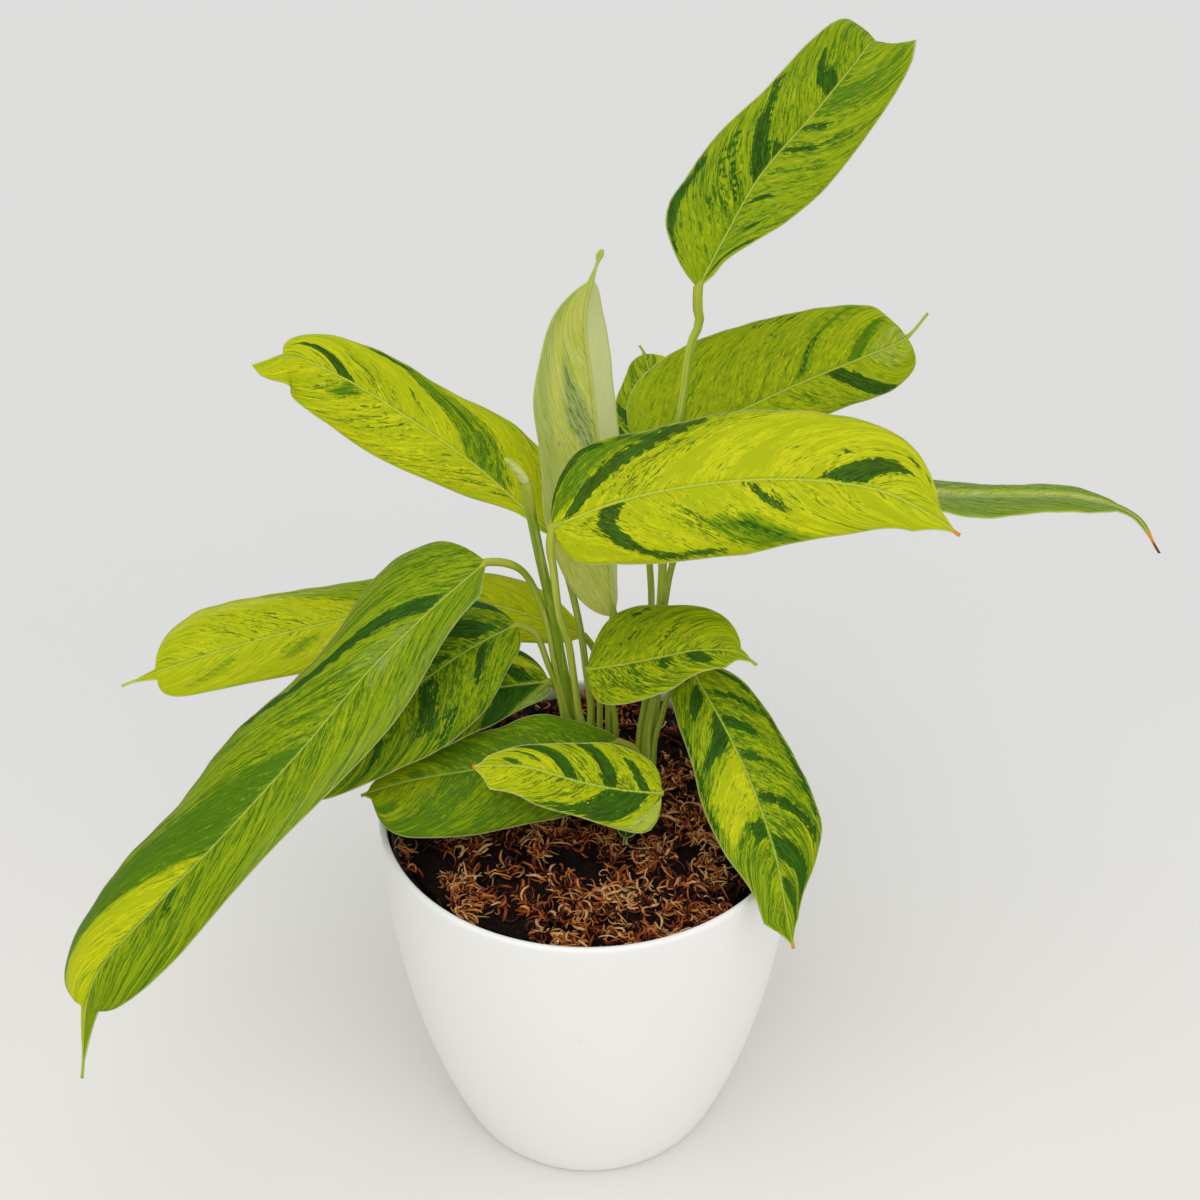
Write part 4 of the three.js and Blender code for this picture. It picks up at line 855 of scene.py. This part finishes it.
def leaf_material(name, under):
    """Lime leaf tissue with green mottling, flecks and dark patches drawn out along the side veins; its pale
    areas are partly painted sheen, and beside the midrib is painted shade
    """
    s = Shader(name)
    q, w, edge = s.parts("vein")
    dark, fleck, pale = s.parts("tone")
    mid, tip, rib = s.parts("cast")
    out = s.math("ABSOLUTE", w)
    hand = s.times(s.math("SIGN", w), 7)
    drift = s.noise(s.vector(s.times(q, 0.11), s.times(out, 0.09), hand), 1, 2)
    q = s.plus(q, s.spread(drift, 7))

    def stretched(across, lengthways, shift):
        """Places on the blade, at one scale across its side veins and another along them"""
        return s.vector(s.times(q, across), s.times(out, lengthways), s.plus(hand, shift))

    def dashes(*scales):
        return s.cells(s.warped(stretched(*scales), 0.35))

    noises = {
        "wide": dashes(0.5, 0.1, 0),
        "narrow": dashes(1.25, 0.42, 3.1),
        "hair": dashes(2.4, 1, 5.7),
        "broad": s.noise(stretched(0.22, 0.05, 9.3), 1, 3, 0.6),
        "grit": s.noise(stretched(2.2, 1.3, 15.4), 1, 3, 0.7),
        "blotch": s.noise(stretched(0.75, 0.33, 12.1), 1, 4, 0.7),
    }
    hair = noises["hair"]

    def broken(value, **amounts):
        """The value, made uneven by these amounts of the noises"""
        for kind, amount in amounts.items():
            value = s.plus(value, s.spread(noises[kind], amount))
        return value

    green = broken(mid, broad=1, blotch=1.7, wide=0.2, narrow=0.3, grit=0.8)
    flecks = broken(s.times(fleck, 0.42), broad=0.6, blotch=0.7, wide=0.2, narrow=0.5, hair=0.5, grit=0.6)
    deep = broken(dark, broad=0.3, blotch=0.6, wide=0.35, narrow=0.4, hair=0.35, grit=0.4)
    # Paleness: partly the leaf's own paler tissue, partly painted sheen and highlight
    pallor_and_sheen = s.step(broken(pale, narrow=0.4, hair=0.4), 0.2, 0.95)
    deepest = s.step(broken(0, broad=0.5, narrow=0.6, hair=0.6), -0.15, 0.15)
    lines = s.math("SINE", s.times(q, 5.2))
    # Painted shade in a narrow band along both sides of the midrib, where the upper face's groove lies
    midrib_groove_shade = s.times(s.step(out, 1.5, 0.5), s.step(out, 0.25, 0.5))
    base = s.coats(
        s.mix(s.step(broken(noises["broad"], narrow=0.2), 0.4, 0.6), "A8B408", "C8CA14"),
        (s.times(s.step(green, 0.05, 0.55), 0.9), "7E9706"),
        (s.times(s.step(green, 0.6, 0.85), 0.85), s.mix(deepest, "336306", "4E7A08")),
        (s.times(s.step(flecks, 0.38, 0.48), 0.82), s.mix(hair, "1F4A05", "4A7208")),
        (s.times(s.step(deep, 0.42, 0.55), 0.94), s.mix(deepest, "0F3605", "2A5E0A")),
        # paler tissue and painted sheen
        (s.times(pallor_and_sheen, 0.85), "D0D69C"),
        (s.step(lines, 0.2, 1, 0, 0.03), "CBD47A"),
        # painted shade beside the midrib
        (s.times(midrib_groove_shade, 0.3), "5E7A0C"),
        (s.times(s.step(out, 0.5, 0.2), s.times(rib, 0.6)), "B9C860"),
        (s.step(edge, 0.7, 0.25, 0, 0.5), "D2DC98"),
        (s.step(tip, 0.35, 0.7), "D08A34"),
        (s.step(tip, 0.75, 0.95), "6E4220"))
    if under:
        base = s.mix(0.5, base, "CDD897")
    smooth, rough = (0.5, 0.62) if under else (0.36, 0.46)
    relief = s.plus(s.times(lines, 0.3), s.times(hair, 0.4))
    return s.finish(Base_Color=base, Roughness=s.step(noises["blotch"], 0.3, 0.7, smooth, rough),
                    Normal=s.bump(relief, 0.2, 0.0002), Specular_IOR_Level=0.05, Subsurface_Weight=0.03,
                    Subsurface_Radius=(0.5, 1, 0.1), Subsurface_Scale=0.001)


def stalk_material():
    s = Shader("stalk_green")
    around, across, length = s.parts("grain")
    knee, stalk_tone_and_side_shade, height = s.parts("tint")
    lines = s.noise(s.vector(s.times(around, 1.4), s.times(across, 1.4), s.times(length, 0.03)))
    patches = s.noise(s.vector(around, across, s.times(length, 0.09)), 0.5)
    foot = s.step(s.plus(height, s.times(lines, 30)), 62, 38)
    # Pale yellow-green to dark olive by each stalk's own tone and by painted side shade, darker on the right
    # side
    base = s.coats(
        s.mix(stalk_tone_and_side_shade, "C9D052", "688A10"),
        (s.step(lines, 0.42, 0.62, 0, 0.6), "7F9A0C"),
        (s.step(patches, 0.52, 0.7, 0, 0.5), "CFD47C"),
        (s.times(foot, 0.75), s.mix(s.step(patches, 0.4, 0.6), "C2B36A", "7A5A2C")),
        (s.times(knee, 0.7), "A7AE36"))
    return s.finish(Base_Color=base, Roughness=s.step(lines, 0.3, 0.7, 0.38, 0.55),
                    Normal=s.bump(lines, 0.5, 0.0005), Specular_IOR_Level=0.12, Subsurface_Weight=0.04,
                    Subsurface_Radius=(0.5, 1, 0.2), Subsurface_Scale=0.001)


def moss_ground_material():
    s = Shader("moss_ground")
    crumbs = s.noise(s.place(), 900, 4, 0.7)
    return s.finish(Base_Color=s.mix(s.step(crumbs, 0.5, 0.75), "0D0705", "3E1D0E"), Roughness=0.95,
                    Specular_IOR_Level=0.15, Normal=s.bump(crumbs, 0.8, 0.0006))


def moss_fibre_material():
    s = Shader("moss_fibre")
    tone_and_painted_shade, own, _ = s.parts("tint")
    grain = s.noise(s.place(), 2600, 3, 0.6)
    # From near-black for the lowest fibres to pale tan for the highest: the fibres' own tones with painted
    # shade below and painted light on top
    base = s.coats(
        s.mix(s.step(tone_and_painted_shade, 0.1, 0.48), "340F04", "8E3F14"),
        (s.step(tone_and_painted_shade, 0.42, 0.75), s.mix(own, "BC5F1E", "CE8B40")),
        (s.step(tone_and_painted_shade, 0.78, 1), "D9A96C"),
        (s.step(grain, 0.4, 0.8, 0, 0.35), "4A220F"))
    return s.finish(Base_Color=base, Roughness=0.75, Specular_IOR_Level=0.3,
                    Normal=s.bump(grain, 0.4, 0.0002))


def pot_material():
    """White plastic with a faint grain and a few specks of soil"""
    s = Shader("satin_white_plastic")
    place = s.place()
    grain = s.noise(place, 420, 3, 0.5)
    speck = s.step(s.cells(place, 95, "Distance"), 0.075, 0.03)
    rare = s.step(s.noise(place, 60, 1), 0.6, 0.66)
    base = s.mix(s.noise(place, 14, 3, 0.5), "EFEEEC", "F3F2F0")
    base = s.mix(s.times(s.times(speck, rare), 0.55), base, "8F8377")
    return s.finish(Base_Color=base, Roughness=s.step(grain, 0.3, 0.7, 0.3, 0.36), Coat_Weight=0.15,
                    Coat_Roughness=0.3, Normal=s.bump(grain, 0.05, 0.0001))


def plain_rough_material(name, low, high, scale, rough):
    s = Shader(name)
    grain = s.noise(s.place(), scale, 4, 0.6)
    return s.finish(Base_Color=s.mix(s.step(grain, 0.35, 0.65), low, high),
                    Roughness=s.step(grain, 0.3, 0.7, rough - 0.08, rough), Normal=s.bump(grain, 0.2, 0.0003))


def floor_material():
    """Pale and slightly cloudy, a little cooler behind the pot than in front of it"""
    s = Shader("pale_floor")
    place = s.place()
    base = s.mix(s.step(s.split(place)[1], -0.3, 0.45), "EDEAE3", "DCDCDB")
    base = s.mix(s.times(s.noise(place, 1.5, 2, 0.5), 0.15), base, "DDDAD6")
    return s.finish(Base_Color=base, Roughness=0.9, Specular_IOR_Level=0.2)


# All pieces
def wear(piece, *materials):
    piece.data.materials.clear()
    for material in materials:
        piece.data.materials.append(material)


def place_piece(piece, slot, node, *materials):
    """Puts a finished piece on the body in place of a CAD node"""
    wear(piece, *materials)
    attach(piece, "root")
    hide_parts(node)


leaf_upper = leaf_material("leaf_upper_face", False)
leaf_lower = leaf_material("leaf_underside", True)
stalk_green = stalk_material()
for number, (name, blade) in enumerate(BLADES.items()):
    piece = make_blade(name, blade, number)
    place_piece(piece, blade["slot"], name, leaf_upper, leaf_lower)
place_piece(make_rolled_leaf(), "leaf_pale", "rolled_leaf", leaf_upper)
for name, stalks in SHOOTS.items():
    place_piece(make_shoot(name, stalks), "stalk", name, stalk_green)

place_piece(make_pot(), "white_plastic", "pot", pot_material())
black_plastic = plain_rough_material("black_plastic", "101113", "1B1C1E", 260, 0.55)
place_piece(make_grow_pot(), "black_plastic", "grow_pot", black_plastic)
dark_soil = plain_rough_material("dark_soil", "0E0907", "2B1C13", 500, 0.95)
wear(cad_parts["potting_soil"], dark_soil)
place_piece(make_moss_bed(), "moss", "moss", moss_ground_material())
rng = np.random.default_rng(11)
brown = moss_fibre_material()
# The low layer is set darker and the high one lighter: painted shade down among the fibres and painted light
# on top
for name, count, length, width, lift, tone in (("moss_fibres_low", 2500, (4, 10), (0.8, 1.9), 0.8, -0.32),
                                               ("moss_fibres_high", 2300, (4, 12), (0.7, 1.6), 2.2, 0.14)):
    place_piece(make_fibres(name, count, rng, length, width, lift, tone), "moss", "moss", brown)

# Floor, light and camera
FLOOR_SIZE, FLOOR_DROP = 60, 0.0003
bpy.ops.mesh.primitive_plane_add(size=FLOOR_SIZE, location=(0, 0, -FLOOR_DROP))
floor = bpy.context.active_object
floor.name = "floor"
wear(floor, floor_material())

for name, direction, spread, strength in (("window_light", (0.1, 0.25, -1), 60, 1.08),
                                          ("front_light", (-0.35, 1, -0.5), 90, 0.75)):
    light = bpy.data.lights.new(name, "SUN")
    light.angle = math.radians(spread)
    light.energy = strength
    add_object(name, light).rotation_euler = Vector(direction).to_track_quat("-Z", "Y").to_euler()
world = bpy.data.worlds.new("studio")
world.use_nodes = True
background = world.node_tree.nodes["Background"]
background.inputs["Color"].default_value = (1, 1, 1, 1)
background.inputs["Strength"].default_value = 0.58
bpy.context.scene.world = world
bpy.context.scene.view_settings.view_transform = "Standard"

# The photo's camera, fitted to the ellipses of the pot's rim and foot
camera_data = bpy.data.cameras.new("camera")
camera_data.lens = 36
camera_data.sensor_width = 36
camera_data.sensor_height = 36
camera_data.clip_end = 20
camera = add_object("camera", camera_data)
camera.location = (0.005, -0.408, 0.498)
camera.rotation_euler = (math.radians(60), 0, 0)
bpy.context.scene.camera = camera
